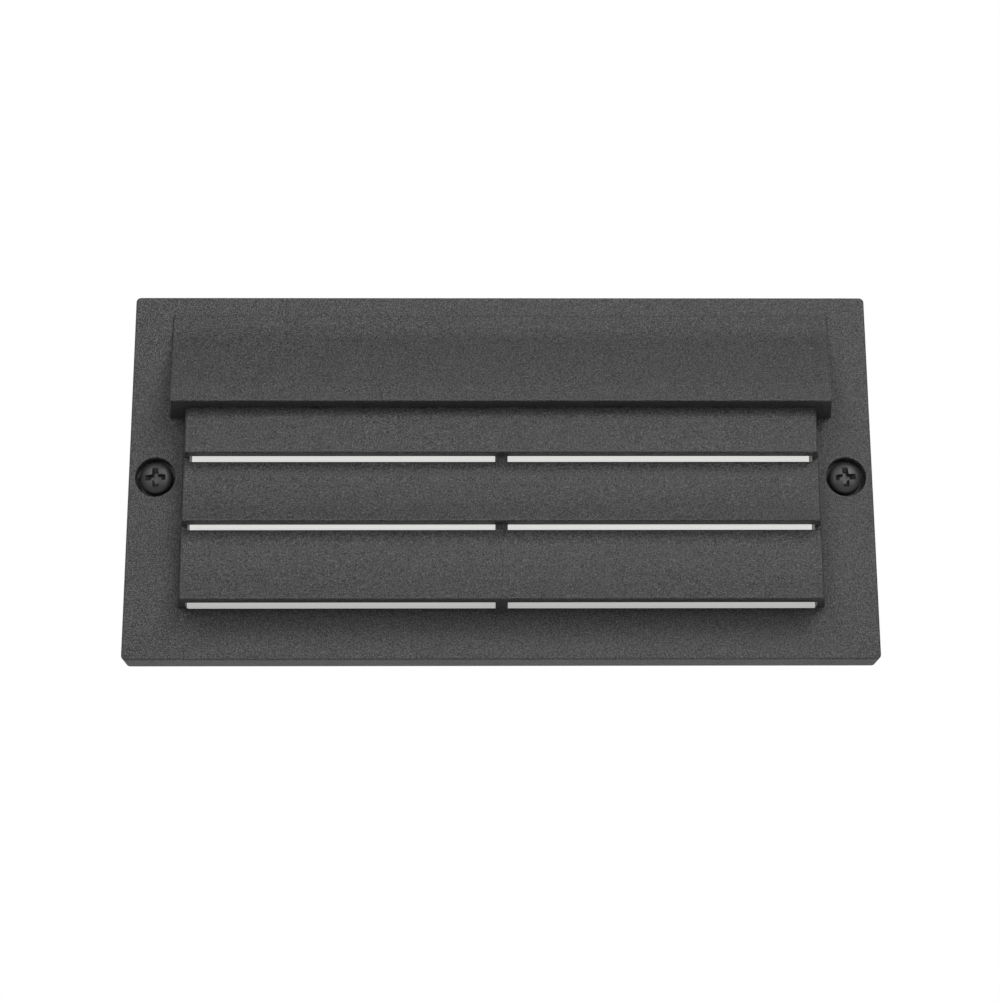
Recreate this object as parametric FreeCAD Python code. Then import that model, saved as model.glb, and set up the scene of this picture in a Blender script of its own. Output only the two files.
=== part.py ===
"""Louvred brick step light: a die-cast faceplate with a hood and three blades over a recessed box.

Frame, in millimetres: X to the right, Z up, Y into the wall. The origin is the centre of the
faceplate in the wall plane, so the wall is Y = 0, the lamp's face looks along -Y and the
recessed box fills Y > 0. A protrusion is a distance in front of the plate's front face.
"""
import FreeCAD
import Part
import math
import os

Vector = FreeCAD.Vector

# ---- fits and clearances -------------------------------------------------------------------
RUNNING_GAP = 0.05           # radial gap of a screw in its own threaded or guiding hole
LOOSE_GAP = 0.3              # gap between neighbours that must not rub
REACH = 5.0                  # how far a cutting tool runs past the face that it opens

# ---- faceplate casting ---------------------------------------------------------------------
PLATE_WIDTH = 235.0
PLATE_HEIGHT = 118.2
PLATE_DEPTH = 11.0           # wall plane to the plate's front face
PLATE_CORNER = 1.5           # corner radius seen from the front
PLATE_EDGE = 0.6             # rounded front edge
FACE_WALL = 2.5
RIM_WALL = 2.8
RIM_DRAFT = 1.3              # degrees, the rim widens towards the wall

# ---- hood, the uppermost and widest blade --------------------------------------------------
HOOD_DOWN = 6.45             # plate's top edge to the crease where the hood leaves the plate
HOOD_STEP = 0.7              # the hood's top edge stands this proud of the plate
HOOD_ASIDE = 12.3            # plate's end to the hood's end, at the plate
HOOD_DRAFT = 9.0             # degrees, the hood's ends lean inwards
HOOD_CORNER = 1.6            # rounded top corners seen from the front
HOOD_EASE = 22.0             # radius of the soft bends above and below the flare
# Protrusions, and heights as shares of half the plate's height: the lip's lower front edge,
# where the front face starts to flare, and where the flare eases towards the lip.
HOOD_LIP_AT = (17.5, 0.3215)
HOOD_SHOULDER_AT = (2.4, 0.7783)
HOOD_BROW_AT = (14.6, 0.4264)
HOOD_WALL = 3.0
HOOD_TIP = 1.0               # radius in the tip of the hood's hollow
HOOD_FLOOR = 3.0
UNDERSIDE_DRAFT = 1.5        # degrees, undersides fall towards the plate

# ---- the three blades under the hood -------------------------------------------------------
# Each lip: protrusion and height share of its lower front edge, and depth of its underside.
UPPER_LIP_AT, UPPER_LIP_DEPTH = (15.2, 0.0525), 3.7
MIDDLE_LIP_AT, MIDDLE_LIP_DEPTH = (14.6, -0.3122), 4.4
LOWER_LIP_AT, LOWER_LIP_DEPTH = (13.6, -0.7208), 5.3
UPPER_ROOT = 11.1            # protrusion of the upper blade's face under the hood
MIDDLE_ROOT = 5.0            # protrusion of the middle blade's top edge
LOWER_ROOT = 4.0             # protrusion of the lower blade's top edge
ROOT_DROP = 0.15             # each top edge lies this much under the lip above it
BLADE_WALL = 2.8
BLADE_RISE = 0.24            # share of a blade's height that stays upright before it flares
LIP_EDGE = 0.45              # rounded lip edges
CHEEK_ASIDE = 4.6            # hood's end to the outside of the end cheeks, at the plate
CHEEK_DRAFT = 11.0           # degrees
CHEEK_INSET = 0.3            # the cheeks lie this far behind the blades' faces
RIB_WIDTH = 3.8              # centre rib behind the blades
RIB_FOOT = 2.6               # how far the rib runs down each blade under a slot

# ---- window behind the blades --------------------------------------------------------------
CHEEK_WALL = 2.6             # at the plate's front face
WINDOW_DRAFT = 5.7           # degrees, the opening narrows towards the lips
WINDOW_DOWN = 7.85           # hood's crease to the window's upper edge
WINDOW_UP = 16.1             # plate's lower edge to the window's lower edge
WINDOW_CORNER = 1.0

# ---- lens, its gasket and its clips --------------------------------------------------------
LENS_THICKNESS = 2.5
LENS_OVERLAP = 3.0           # lens beyond the window, each side
LENS_CORNER = 3.0
LENS_GASKET_THICKNESS = 0.8
CLIP_X = 60.0
CLIP_WIDTH = 8.0
CLIP_THICKNESS = 0.8
CLIP_CORNER = 0.8
CLIP_BITE = 2.0              # how far a clip reaches over the lens
CLIP_TAIL = 2.0              # clip beyond its screw's axis
CLIP_BOSS_RADIUS = 2.4
CLIP_SCREW_RADIUS = 1.25
CLIP_SCREW_LENGTH = 4.4
CLIP_HEAD_RADIUS = 1.9
CLIP_HEAD_HEIGHT = 1.4

# ---- captive faceplate screws, M5 x 16 cross-recessed pan head ------------------------------
SCREW_ASIDE = 8.4            # plate's end to the screw's axis
SCREW_Z = -0.8
SCREW_RADIUS = 2.5
SCREW_LENGTH = 16.0
SCREW_TIP_CHAMFER = 0.6
HEAD_RADIUS = 5.1
HEAD_HEIGHT = 3.1
HEAD_SINK = 0.1              # top of the head under the plate's face
RECESS_SPAN = 6.2            # cross recess, wing tip to wing tip
RECESS_WING = 1.5
RECESS_DEPTH = 2.1
RECESS_TURN = 3.0            # degrees, where the tightened crosses came to rest
COUNTERBORE_RADIUS = 6.25
COUNTERBORE_WALL = 1.55
SCREW_HOLE_RADIUS = 2.8
WASHER_THICKNESS = 0.8
WASHER_RADIUS = 5.0
RETAINER_THICKNESS = 0.8
RETAINER_RADIUS = 4.0

# ---- faceplate gasket and box flange -------------------------------------------------------
GASKET_WIDTH = 3.5
GASKET_THICKNESS = 2.0
GASKET_EAR = 2.0             # width of the gasket's ears round the screws
GASKET_EASE = 0.1            # between the gasket and the rim
GASKET_GAP = 0.3             # between the gasket and the flange before it is squeezed
FLANGE_THICKNESS = 2.5
FLANGE_GAP = 0.8             # between the flange's edge and the faceplate's rim
FLANGE_CORNER = 2.0
FLANGE_BOSS_RADIUS = 4.3
FLANGE_BOSS_LENGTH = 10.0
WALL_SCREW_ASIDE = 24.1      # faceplate screw to wall screw, along X
WALL_SCREW_DOWN = 11.6       # plate's edge to the wall screw, along Z
WALL_SCREW_RADIUS = 2.4

# ---- recessed box --------------------------------------------------------------------------
BOX_ASIDE = 13.6             # faceplate screw's axis to the box's end, at the wall plane
BOX_DOWN = 8.0               # wall screw's axis to the box's side, at the wall plane
BOX_DEPTH = 56.0
BOX_WALL = 2.5
BOX_DRAFT = 1.0              # degrees, the box narrows into the wall
BOX_CORNER = 6.0
PILLAR_RADIUS = 4.5
RIB_HEIGHT = 3.0             # outside stiffening ribs
RIB_THICKNESS = 2.0
RIB_SPACING = 44.0
RIB_COUNT = 4

# ---- conduit entries, half-inch tapped -----------------------------------------------------
ENTRY_RADIUS = 9.45
ENTRY_BOSS_RADIUS = 13.0
ENTRY_BOSS_HEIGHT = 6.0
SUPPLY_X = -60.0             # open entry in the back
SIDE_ENTRY_Y = 32.0          # plugged entries in the two ends
PLUG_HEAD_RADIUS = 12.2
PLUG_HEAD_HEIGHT = 3.0
PLUG_SEAL_THICKNESS = 1.0
PLUG_THREAD = 8.0
PLUG_SLOT = (14.0, 2.0, 1.5)  # length, width and depth of the driver slot

# ---- bracket, light board and reflector ----------------------------------------------------
BRACKET_FRONT = 14.0
BRACKET_THICKNESS = 1.5
BRACKET_GAP = 1.0
BRACKET_CORNER = 4.0
BRACKET_LIP = 6.0
BRACKET_LIP_INSET = 3.0      # pillar to the lip's end
FREE_GAP = 0.2               # radial gap of a screw in a plain clearance hole
BRACKET_SCREW_RADIUS = 2.0
BRACKET_SCREW_LENGTH = 9.0
BRACKET_HEAD_RADIUS = 3.7
BRACKET_HEAD_HEIGHT = 2.4
PAD_THICKNESS = 0.5
BOARD_THICKNESS = 1.6
BOARD_ASIDE = 4.0            # reflector floor's end to the board's end
BOARD_HALF_Z = 20.0
BOARD_CORNER = 3.0
BOARD_SCREW_INSET = (3.0, 3.2)   # from the board's edges
BOARD_SCREW_RADIUS = 1.5
BOARD_SCREW_TIP = 1.5        # screw beyond the bracket
BOARD_HEAD_RADIUS = 2.7
BOARD_HEAD_HEIGHT = 1.8
EMITTERS_PER_ROW = 10
EMITTER_ASIDE = 10.3         # reflector window's end to the last emitter
EMITTER_ROW_Z = 9.0
EMITTER_HALF = 1.5
EMITTER_HEIGHT = 0.7
REFLECTOR_WALL = 1.2
REFLECTOR_ASIDE = 11.0       # box mouth's end to the reflector floor's end
REFLECTOR_FLOOR_Z = 24.5
REFLECTOR_WINDOW_INSET = 3.5     # board screw to the reflector's window, along X
REFLECTOR_WINDOW_Z = 13.0
REFLECTOR_CORNER = 4.0
REFLECTOR_FRONT = -1.0       # Y of the reflector's front edge
REFLECTOR_GAP = 0.8

# ---- driver, leads and connectors ----------------------------------------------------------
DRIVER_ASIDE = (62.0, 22.0)  # board's ends to the driver's left and right ends
DRIVER_HALF_Z = 16.0
DRIVER_HEIGHT = 22.0
DRIVER_CORNER = 2.0
DRIVER_TAB_LENGTH = 7.0
DRIVER_TAB_HALF_Z = 8.0
DRIVER_TAB_THICKNESS = 2.0
DRIVER_SCREW_RADIUS = 1.5
DRIVER_HEAD_RADIUS = 2.7
DRIVER_HEAD_HEIGHT = 1.8
LEAD_RADIUS = 0.9
OUTPUT_LEAD_Z = 1.15         # the two output leads run this far each side of the middle
INPUT_LEAD_Z = 4.0
LEAD_HOLE_RADIUS = 3.0
LEAD_BEND = 4.0
CONNECTOR_SIZE = (9.0, 3.4, 8.0)   # X, Y and Z of the board connector
CONNECTOR_SOCKET = 4.0
GROMMET_RADIUS = 3.7
GROMMET_BORE = 2.5
GROMMET_FLANGE_RADIUS = 5.0
GROMMET_FLANGE = 1.2
WIRE_NUT_LENGTH = 20.0
WIRE_NUT_MOUTH_RADIUS = 5.6
WIRE_NUT_TIP_RADIUS = 3.2
WIRE_NUT_BORE = 1.3
WIRE_NUT_SOCKET = 8.0        # how deep a lead enters its nut
WIRE_NUT_REACH = 34.0        # driver's left end to the mouth of each nut
WIRE_NUT_RIM = 3.0           # straight band at the mouth
WIRE_NUT_WING = (1.2, 1.4)   # how far each finger wing stands out, and its thickness
WIRE_NUT_WING_LENGTH = 9.0
INPUT_NUT_Y = 30.0
LINE_NUT_Z, NEUTRAL_NUT_Z = 15.0, -12.0
GROUND_NUT_SHIFT = (-1.5, -1.0)  # Y and Z of the ground nut from the ring terminal's barrel
INPUT_LEAD_BEND = 14.0
INPUT_LEAD_RUNS = (9.0, 11.0)    # straight ends of an input lead at the driver and at its nut
GROUND_LEAD_BEND = 12.0
GROUND_LEAD_RUNS = (8.0, 5.0)    # the same of the ground lead at its terminal and at its nut
GROUND_SHIFT = 6.0           # driver's left end to the ground screw, along X
GROUND_UP = 11.0             # box mouth's lower side to the ground screw, along Z
GROUND_BOSS_RADIUS = 4.0
GROUND_BOSS_HEIGHT = 5.0
GROUND_SCREW_RADIUS = 2.0
GROUND_HEAD_RADIUS = 3.6
GROUND_HEAD_HEIGHT = 2.2
RING_OUTER = 3.8
RING_THICKNESS = 0.8
RING_BARREL_LENGTH = 6.0
RING_BARREL_RADIUS = 1.6
RING_TONGUE = 0.6
RING_SOCKET = 4.0

# ---- planes that follow from the sizes above -----------------------------------------------
HALF_WIDTH, HALF_HEIGHT = PLATE_WIDTH / 2, PLATE_HEIGHT / 2
FRONT = -PLATE_DEPTH
INNER_FACE = FRONT + FACE_WALL
HOOD_TOP = HALF_HEIGHT - HOOD_DOWN
HOOD_HALF_WIDTH = HALF_WIDTH - HOOD_ASIDE
CHEEK_HALF_WIDTH = HOOD_HALF_WIDTH - CHEEK_ASIDE
WINDOW_HALF_WIDTH = CHEEK_HALF_WIDTH - CHEEK_WALL
WINDOW_TOP = HOOD_TOP - WINDOW_DOWN
WINDOW_BOTTOM = WINDOW_UP - HALF_HEIGHT
HOOD_LIP, HOOD_SHOULDER, HOOD_BROW, UPPER_LIP, MIDDLE_LIP, LOWER_LIP = [
    (protrusion, share * HALF_HEIGHT) for protrusion, share in
    (HOOD_LIP_AT, HOOD_SHOULDER_AT, HOOD_BROW_AT, UPPER_LIP_AT, MIDDLE_LIP_AT, LOWER_LIP_AT)]
SCREW_X = HALF_WIDTH - SCREW_ASIDE
WALL_SCREW_X = SCREW_X - WALL_SCREW_ASIDE
WALL_SCREW_Z = HALF_HEIGHT - WALL_SCREW_DOWN
BOX_HALF_X = SCREW_X - BOX_ASIDE
BOX_HALF_Z = WALL_SCREW_Z - BOX_DOWN
FLANGE_FRONT = -FLANGE_THICKNESS
GASKET_REAR = FLANGE_FRONT - GASKET_GAP
SHELF_REAR = GASKET_REAR - GASKET_THICKNESS
RIM_HALF_X = HALF_WIDTH - RIM_WALL
RIM_HALF_Z = HALF_HEIGHT - RIM_WALL
HEAD_TOP = FRONT + HEAD_SINK
HEAD_SEAT = HEAD_TOP + HEAD_HEIGHT
COUNTERBORE_BOTTOM = HEAD_SEAT + WASHER_THICKNESS
SCREW_BOSS_REAR = SHELF_REAR
LENS_FRONT = INNER_FACE + LENS_GASKET_THICKNESS
LENS_REAR = LENS_FRONT + LENS_THICKNESS
CLIP_REAR = LENS_REAR + CLIP_THICKNESS
LENS_MID_Z = (WINDOW_TOP + WINDOW_BOTTOM) / 2
LENS_HALF_X = WINDOW_HALF_WIDTH + LENS_OVERLAP
LENS_HALF_Z = (WINDOW_TOP - WINDOW_BOTTOM) / 2 + LENS_OVERLAP
CLIP_BOSS_OUT = LENS_HALF_Z + LOOSE_GAP + CLIP_BOSS_RADIUS
MOUTH_HALF_X = BOX_HALF_X - BOX_WALL
MOUTH_HALF_Z = BOX_HALF_Z - BOX_WALL
BOX_FLOOR = BOX_DEPTH - BOX_WALL
PILLAR_X = MOUTH_HALF_X - PILLAR_RADIUS + 0.1
PILLAR_Z = MOUTH_HALF_Z - PILLAR_RADIUS + 0.1
BRACKET_REAR = BRACKET_FRONT + BRACKET_THICKNESS
BOARD_REAR = BRACKET_FRONT - PAD_THICKNESS
BOARD_FRONT = BOARD_REAR - BOARD_THICKNESS
REFLECTOR_FLOOR = BOARD_FRONT - REFLECTOR_WALL
REFLECTOR_FLOOR_X = MOUTH_HALF_X - REFLECTOR_ASIDE
BOARD_HALF_X = REFLECTOR_FLOOR_X - BOARD_ASIDE
BOARD_SCREW_X = BOARD_HALF_X - BOARD_SCREW_INSET[0]
BOARD_SCREW_Z = BOARD_HALF_Z - BOARD_SCREW_INSET[1]
REFLECTOR_WINDOW_X = BOARD_SCREW_X - REFLECTOR_WINDOW_INSET
EMITTER_PITCH = 2 * (REFLECTOR_WINDOW_X - EMITTER_ASIDE) / (EMITTERS_PER_ROW - 1)
DRIVER_X = (DRIVER_ASIDE[0] - BOARD_HALF_X, BOARD_HALF_X - DRIVER_ASIDE[1])
WIRE_NUT_X = DRIVER_X[0] - WIRE_NUT_REACH
GROUND_X = DRIVER_X[0] - GROUND_SHIFT
GROUND_Z = GROUND_UP - MOUTH_HALF_Z
DRIVER_Y = BRACKET_REAR + DRIVER_HEIGHT / 2
DRIVER_REAR = BRACKET_REAR + DRIVER_HEIGHT
GROUND_SEAT = BOX_FLOOR - GROUND_BOSS_HEIGHT
LEAD_HOLE_X = DRIVER_X[1] + DRIVER_TAB_LENGTH + GROMMET_FLANGE_RADIUS + LOOSE_GAP
BARREL_MOUTH = GROUND_X - RING_OUTER - RING_TONGUE - RING_BARREL_LENGTH
CONNECTOR_RIGHT = LEAD_HOLE_X - LEAD_BEND - LOOSE_GAP


def tangent(degrees):
    """Return the tangent of an angle in degrees."""
    return math.tan(math.radians(degrees))


# ---- building blocks -----------------------------------------------------------------------

def rounded_wire(corners, place):
    """Return a closed wire through corners (a, b, radius), each rounded with a tangent arc.

    place turns (a, b) into a point in space.
    """
    ends = []
    count = len(corners)
    for index, (a, b, radius) in enumerate(corners):
        here = Vector(a, b, 0)
        before = Vector(*corners[index - 1][:2], 0) - here
        after = Vector(*corners[(index + 1) % count][:2], 0) - here
        before.normalize()
        after.normalize()
        opening = before.getAngle(after)
        if radius <= 0 or opening > math.radians(179.9):
            ends.append((here, None, here))
            continue
        setback = radius / math.tan(opening / 2)
        inward = before + after
        inward.normalize()
        middle = here + inward * (radius / math.sin(opening / 2) - radius)
        ends.append((here + before * setback, middle, here + after * setback))
    edges = []
    for index, (start, middle, finish) in enumerate(ends):
        if middle is not None:
            edges.append(Part.Arc(place(start), place(middle), place(finish)).toShape())
        following = ends[(index + 1) % count][0]
        if finish.distanceToPoint(following) > 1e-6:
            edges.append(Part.LineSegment(place(finish), place(following)).toShape())
    return Part.Wire(edges)


def rectangle_wire(half_x, half_z, radius, y, mid_z=0.0):
    """Return a rounded rectangle seen from the front, at depth y."""
    corners = [(sx * half_x, mid_z + sz * half_z, radius)
               for sx, sz in ((-1, -1), (1, -1), (1, 1), (-1, 1))]
    return rounded_wire(corners, lambda q: Vector(q.x, y, q.y))


def slab(half_x, half_z, radius, y0, y1, mid_z=0.0):
    """Return a rounded rectangular plate between depths y0 and y1."""
    face = Part.Face(rectangle_wire(half_x, half_z, radius, y0, mid_z))
    return face.extrude(Vector(0, y1 - y0, 0))


def tapered_slab(half_x, half_z, radius, y0, y1, growth):
    """Return a rounded rectangular block whose sides move out by growth from y0 to y1."""
    first = rectangle_wire(half_x, half_z, 0, y0)
    last = rectangle_wire(half_x + growth, half_z + growth, 0, y1)
    sharp = Part.makeLoft([first, last], True, True)
    corners = [edge for edge in sharp.Edges
               if abs(edge.Vertexes[0].Point.y - edge.Vertexes[1].Point.y) > 1e-6]
    return sharp.makeFillet(radius, corners)


def side_section(corners, half_width):
    """Return a prism along X of a side view given as (protrusion, height, radius) corners."""
    wire = rounded_wire(corners, lambda q: Vector(-half_width, FRONT - q.x, q.y))
    return Part.Face(wire).extrude(Vector(2 * half_width, 0, 0))


def plan_wedge(half_width, draft, low, high):
    """Return a block whose half width is half_width at the plate and shrinks as it protrudes."""
    back, reach = -2 * REACH, 5 * REACH
    corners = [(side * (half_width - depth * tangent(draft)), depth, 0)
               for side, depth in ((-1, back), (1, back), (1, reach), (-1, reach))]
    wire = rounded_wire(corners, lambda q: Vector(q.x, FRONT - q.y, low))
    return Part.Face(wire).extrude(Vector(0, 0, high - low))


def cylinder(x, z, radius, y0, y1):
    """Return a cylinder along Y between depths y0 and y1."""
    return Part.makeCylinder(radius, y1 - y0, Vector(x, y0, z), Vector(0, 1, 0))


def block(x0, x1, y0, y1, z0, z1):
    """Return a plain block between two corners."""
    return Part.makeBox(x1 - x0, y1 - y0, z1 - z0, Vector(x0, y0, z0))


def spun(profile, base, axis):
    """Return the solid that (radius, height) points make when turned about an axis."""
    wire = Part.makePolygon([Vector(r, 0, h) for r, h in profile + profile[:1]])
    solid = Part.Face(wire).revolve(Vector(0, 0, 0), Vector(0, 0, 1), 360)
    solid.Placement = FreeCAD.Placement(base, FreeCAD.Rotation(Vector(0, 0, 1), axis))
    return solid


def pan_profile(radius, height, shank, length, chamfer, crown_angles):
    """Return the half outline of a pan-head screw, seat at height 0 and head above it."""
    crown = [(radius * math.cos(a), height * (0.45 + 0.55 * math.sin(a)))
             for a in (math.radians(d) for d in crown_angles)]
    return ([(0, -length), (shank - chamfer, -length), (shank, chamfer - length), (shank, 0),
             (radius, 0)] + crown + [(0, height)])


def cross_recess(span, wing, depth, turn):
    """Return the tapered cross cut from a screw head, its mouth at height 0, going down."""
    arms = []
    for angle in (turn, turn + 90):
        mouth, bottom = [
            Part.makePolygon([Vector(sx * a, sy * b, h) for sx, sy in
                              ((-1, -1), (1, -1), (1, 1), (-1, 1), (-1, -1))])
            for a, b, h in ((span / 2, wing / 2, 0), (span / 4, wing / 3, -depth))]
        arm = Part.makeLoft([mouth, bottom], True, True)
        arm.rotate(Vector(0, 0, 0), Vector(0, 0, 1), angle)
        arms.append(arm)
    core = Part.makeCone(wing * 0.45, wing * 0.95, depth, Vector(0, 0, -depth))
    return arms[0].fuse([arms[1], core])


def small_screw(x, seat, z, sizes, outward):
    """Return an inner screw along Y; outward is -1 where its head looks to the front."""
    radius, height, shank, length = sizes
    profile = pan_profile(radius, height, shank, length, shank / 3, (0, 45))
    return spun(profile, Vector(x, seat, z), Vector(0, outward, 0))


def ring(x, z, outer, inner, y0, y1):
    """Return a flat washer along Y."""
    return cylinder(x, z, outer, y0, y1).cut(cylinder(x, z, inner, y0 - REACH, y1 + REACH))


def lead(points, bend, radius=LEAD_RADIUS):
    """Return an insulated lead: straight runs joined by tangent arcs of about one bend radius."""
    route = [Vector(*point) for point in points]
    edges = []
    start = route[0]
    for here, after in zip(route[1:-1], route[2:]):
        back, on = start - here, after - here
        shorter = min(back.Length, on.Length)
        back.normalize()
        on.normalize()
        half = back.getAngle(on) / 2
        fitted = min(bend, 0.9 * shorter * math.tan(half))
        setback = fitted / math.tan(half)
        inward = back + on
        inward.normalize()
        first, last = here + back * setback, here + on * setback
        middle = here + inward * (fitted / math.sin(half) - fitted)
        edges.append(Part.LineSegment(start, first).toShape())
        edges.append(Part.Arc(first, middle, last).toShape())
        start = last
    edges.append(Part.LineSegment(start, route[-1]).toShape())
    circle = Part.Face(Part.Wire([Part.makeCircle(radius, route[0], route[1] - route[0])]))
    return Part.Wire(edges).makePipe(circle)


def group(solids):
    """Return one compound of separate solids."""
    return Part.makeCompound([solid for shape in solids for solid in shape.Solids])


def join(solids):
    """Return one body from overlapping solids, with seams between flush faces removed."""
    return solids[0].fuse(solids[1:]).removeSplitter()


# ---- louvres -------------------------------------------------------------------------------

def beneath(lip, protrusion):
    """Return the height of a lip's underside plane at a protrusion."""
    return lip[1] - (lip[0] - protrusion) * tangent(UNDERSIDE_DRAFT)


def flare(top, lip):
    """Return the knee where a blade's upright top turns into its flare."""
    return (top[0], top[1] - BLADE_RISE * (top[1] - lip[1]))


def knee_radius(top, knee, lip):
    """Return the largest easy radius for the knee between a blade's top and its lip."""
    down = Vector(top[0] - knee[0], top[1] - knee[1], 0)
    out = Vector(lip[0] - knee[0], lip[1] - knee[1], 0)
    half = down.getAngle(out) / 2
    return 0.9 * min(down.Length, out.Length) * math.tan(half)


def blade_corners(top, lip, depth):
    """Return the side view of a blade that curves from its top edge out to its lip."""
    knee = flare(top, lip)
    rear_top = (top[0] - BLADE_WALL, top[1])
    rear_lip = (lip[0] - depth, beneath(lip, lip[0] - depth))
    rear_knee = flare(rear_top, rear_lip)
    return [(*top, LIP_EDGE), (*knee, knee_radius(top, knee, lip)), (*lip, LIP_EDGE),
            (*rear_lip, LIP_EDGE), (*rear_knee, knee_radius(rear_top, rear_knee, rear_lip)),
            (*rear_top, LIP_EDGE)]


def upper_blade_corners():
    """Return the side view of the straight blade that hangs from the hood's underside."""
    root = (UPPER_ROOT, HOOD_LIP[1] + HOOD_FLOOR / 2)
    lip = UPPER_LIP
    rear_lip = (lip[0] - UPPER_LIP_DEPTH, beneath(lip, lip[0] - UPPER_LIP_DEPTH))
    rear_root = (root[0] - BLADE_WALL - 0.3, root[1])
    return [(*root, 0), (*lip, LIP_EDGE), (*rear_lip, LIP_EDGE), (*rear_root, 0)]


def hood_front(inset=0.0):
    """Return the hood's front line from its top edge to its lip, moved inwards by inset."""
    step = (HOOD_STEP - inset, HOOD_TOP - inset)
    shoulder = (HOOD_SHOULDER[0] - inset, HOOD_SHOULDER[1] - inset / 2)
    brow = (HOOD_BROW[0] - inset, HOOD_BROW[1] - inset / 2)
    lip = (HOOD_LIP[0] - inset, HOOD_LIP[1] + inset)
    return step, shoulder, brow, lip


def hood_shell_corners():
    """Return the side view of the hood's hollow wedge with its floor."""
    step, shoulder, brow, lip = hood_front()
    root = -FACE_WALL / 2
    slope = (brow[0] - shoulder[0]) / (shoulder[1] - brow[1])
    across = HOOD_WALL * math.hypot(1, slope)
    floor = lip[1] + HOOD_FLOOR
    crest = shoulder[0] + (shoulder[1] - WINDOW_TOP) * slope - across
    tip = shoulder[0] + (shoulder[1] - floor) * slope - across
    throat = UPPER_ROOT - BLADE_WALL
    return [(root, HOOD_TOP, 0), (*step, 0), (*shoulder, HOOD_EASE), (*brow, HOOD_EASE),
            (*lip, LIP_EDGE), (throat, beneath(lip, throat), 0), (throat, floor, 0),
            (tip, floor, HOOD_TIP), (crest, WINDOW_TOP, 0), (root, WINDOW_TOP, 0)]


def hood_end_corners():
    """Return the side view of the solid ends that close the hood."""
    step, shoulder, brow, lip = hood_front(CHEEK_INSET)
    root = -FACE_WALL / 2
    foot = beneath(HOOD_LIP, root) + CHEEK_INSET
    return [(root, HOOD_TOP - CHEEK_INSET, 0), (*step, 0), (*shoulder, HOOD_EASE),
            (*brow, HOOD_EASE), (*lip, 0), (root, foot, 0)]


def cheek_corners(tops):
    """Return the stepped side view of the cheeks that close the blades' ends."""
    root = -FACE_WALL / 2
    corners = [(root, HOOD_LIP[1] + 1, 0), (UPPER_ROOT - CHEEK_INSET, HOOD_LIP[1] + 1, 0)]
    lips = (UPPER_LIP, MIDDLE_LIP, LOWER_LIP)
    for lip, top in zip(lips, tops + [None]):
        corners.append((lip[0] - CHEEK_INSET, lip[1] + CHEEK_INSET, 0))
        back = root if top is None else top[0] - CHEEK_INSET
        corners.append((back, beneath(lip, back) + CHEEK_INSET, 0))
        if top is not None:
            knee = flare(top, lips[tops.index(top) + 1])
            corners.append((knee[0] - CHEEK_INSET, knee[1], 0))
    return corners


def rib_corners(tops):
    """Return the side view of the centre rib with the small web that it shows in each slot."""
    rear = -FACE_WALL / 2
    corners = [(rear, WINDOW_TOP + 1, 0), (HOOD_STEP, WINDOW_TOP + 1, 0),
               (UPPER_ROOT - BLADE_WALL / 2, HOOD_LIP[1] + HOOD_FLOOR / 2, 0)]
    lips = ((UPPER_LIP, UPPER_LIP_DEPTH), (MIDDLE_LIP, MIDDLE_LIP_DEPTH),
            (LOWER_LIP, LOWER_LIP_DEPTH))
    for (lip, depth), top in zip(lips, tops + [None]):
        corners.append((lip[0] - depth + LIP_EDGE, lip[1] + 1.5 * LIP_EDGE, 0))
        if top is None:
            corners.append((rear, WINDOW_BOTTOM - 1.0, 0))
        else:
            corners.append((top[0] - LIP_EDGE, top[1] - RIB_FOOT, 0))
            knee = flare(top, lips[tops.index(top) + 1][0])
            corners.append((knee[0] - BLADE_WALL / 2, knee[1] - BLADE_WALL, 0))
    return corners


def louvres():
    """Return the hood, the three blades, their end cheeks and the centre rib as one solid."""
    middle_top = (MIDDLE_ROOT, beneath(UPPER_LIP, MIDDLE_ROOT) - ROOT_DROP)
    lower_top = (LOWER_ROOT, beneath(MIDDLE_LIP, LOWER_ROOT) - ROOT_DROP)
    tops = [middle_top, lower_top]
    low, high = -HALF_HEIGHT, HALF_HEIGHT
    wide = HOOD_HALF_WIDTH + REACH
    hood_plan = plan_wedge(HOOD_HALF_WIDTH, HOOD_DRAFT, low, high)
    hood_outline = slab(HOOD_HALF_WIDTH, HOOD_TOP, HOOD_CORNER, FRONT - 5 * REACH, REACH)
    cheek_plan = plan_wedge(CHEEK_HALF_WIDTH, CHEEK_DRAFT, low, high)
    opening = plan_wedge(WINDOW_HALF_WIDTH, WINDOW_DRAFT, low, high)
    hood = side_section(hood_shell_corners(), wide).common(hood_plan).common(hood_outline)
    hood_ends = side_section(hood_end_corners(), wide).common(hood_plan).common(hood_outline)
    cheeks = side_section(cheek_corners(tops), wide).common(cheek_plan)
    blades = [side_section(upper_blade_corners(), wide),
              side_section(blade_corners(middle_top, MIDDLE_LIP, MIDDLE_LIP_DEPTH), wide),
              side_section(blade_corners(lower_top, LOWER_LIP, LOWER_LIP_DEPTH), wide)]
    rib = side_section(rib_corners(tops), RIB_WIDTH / 2)
    return join([hood, hood_ends.cut(opening), cheeks.cut(opening), rib]
                + [blade.common(cheek_plan) for blade in blades])


# ---- faceplate and what it carries ---------------------------------------------------------

def clip_places():
    """Return where each lens clip is screwed down: x, z and the way to the lens."""
    return [(side * CLIP_X, LENS_MID_Z + way * CLIP_BOSS_OUT, -way)
            for side in (-1, 1) for way in (-1, 1)]


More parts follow.
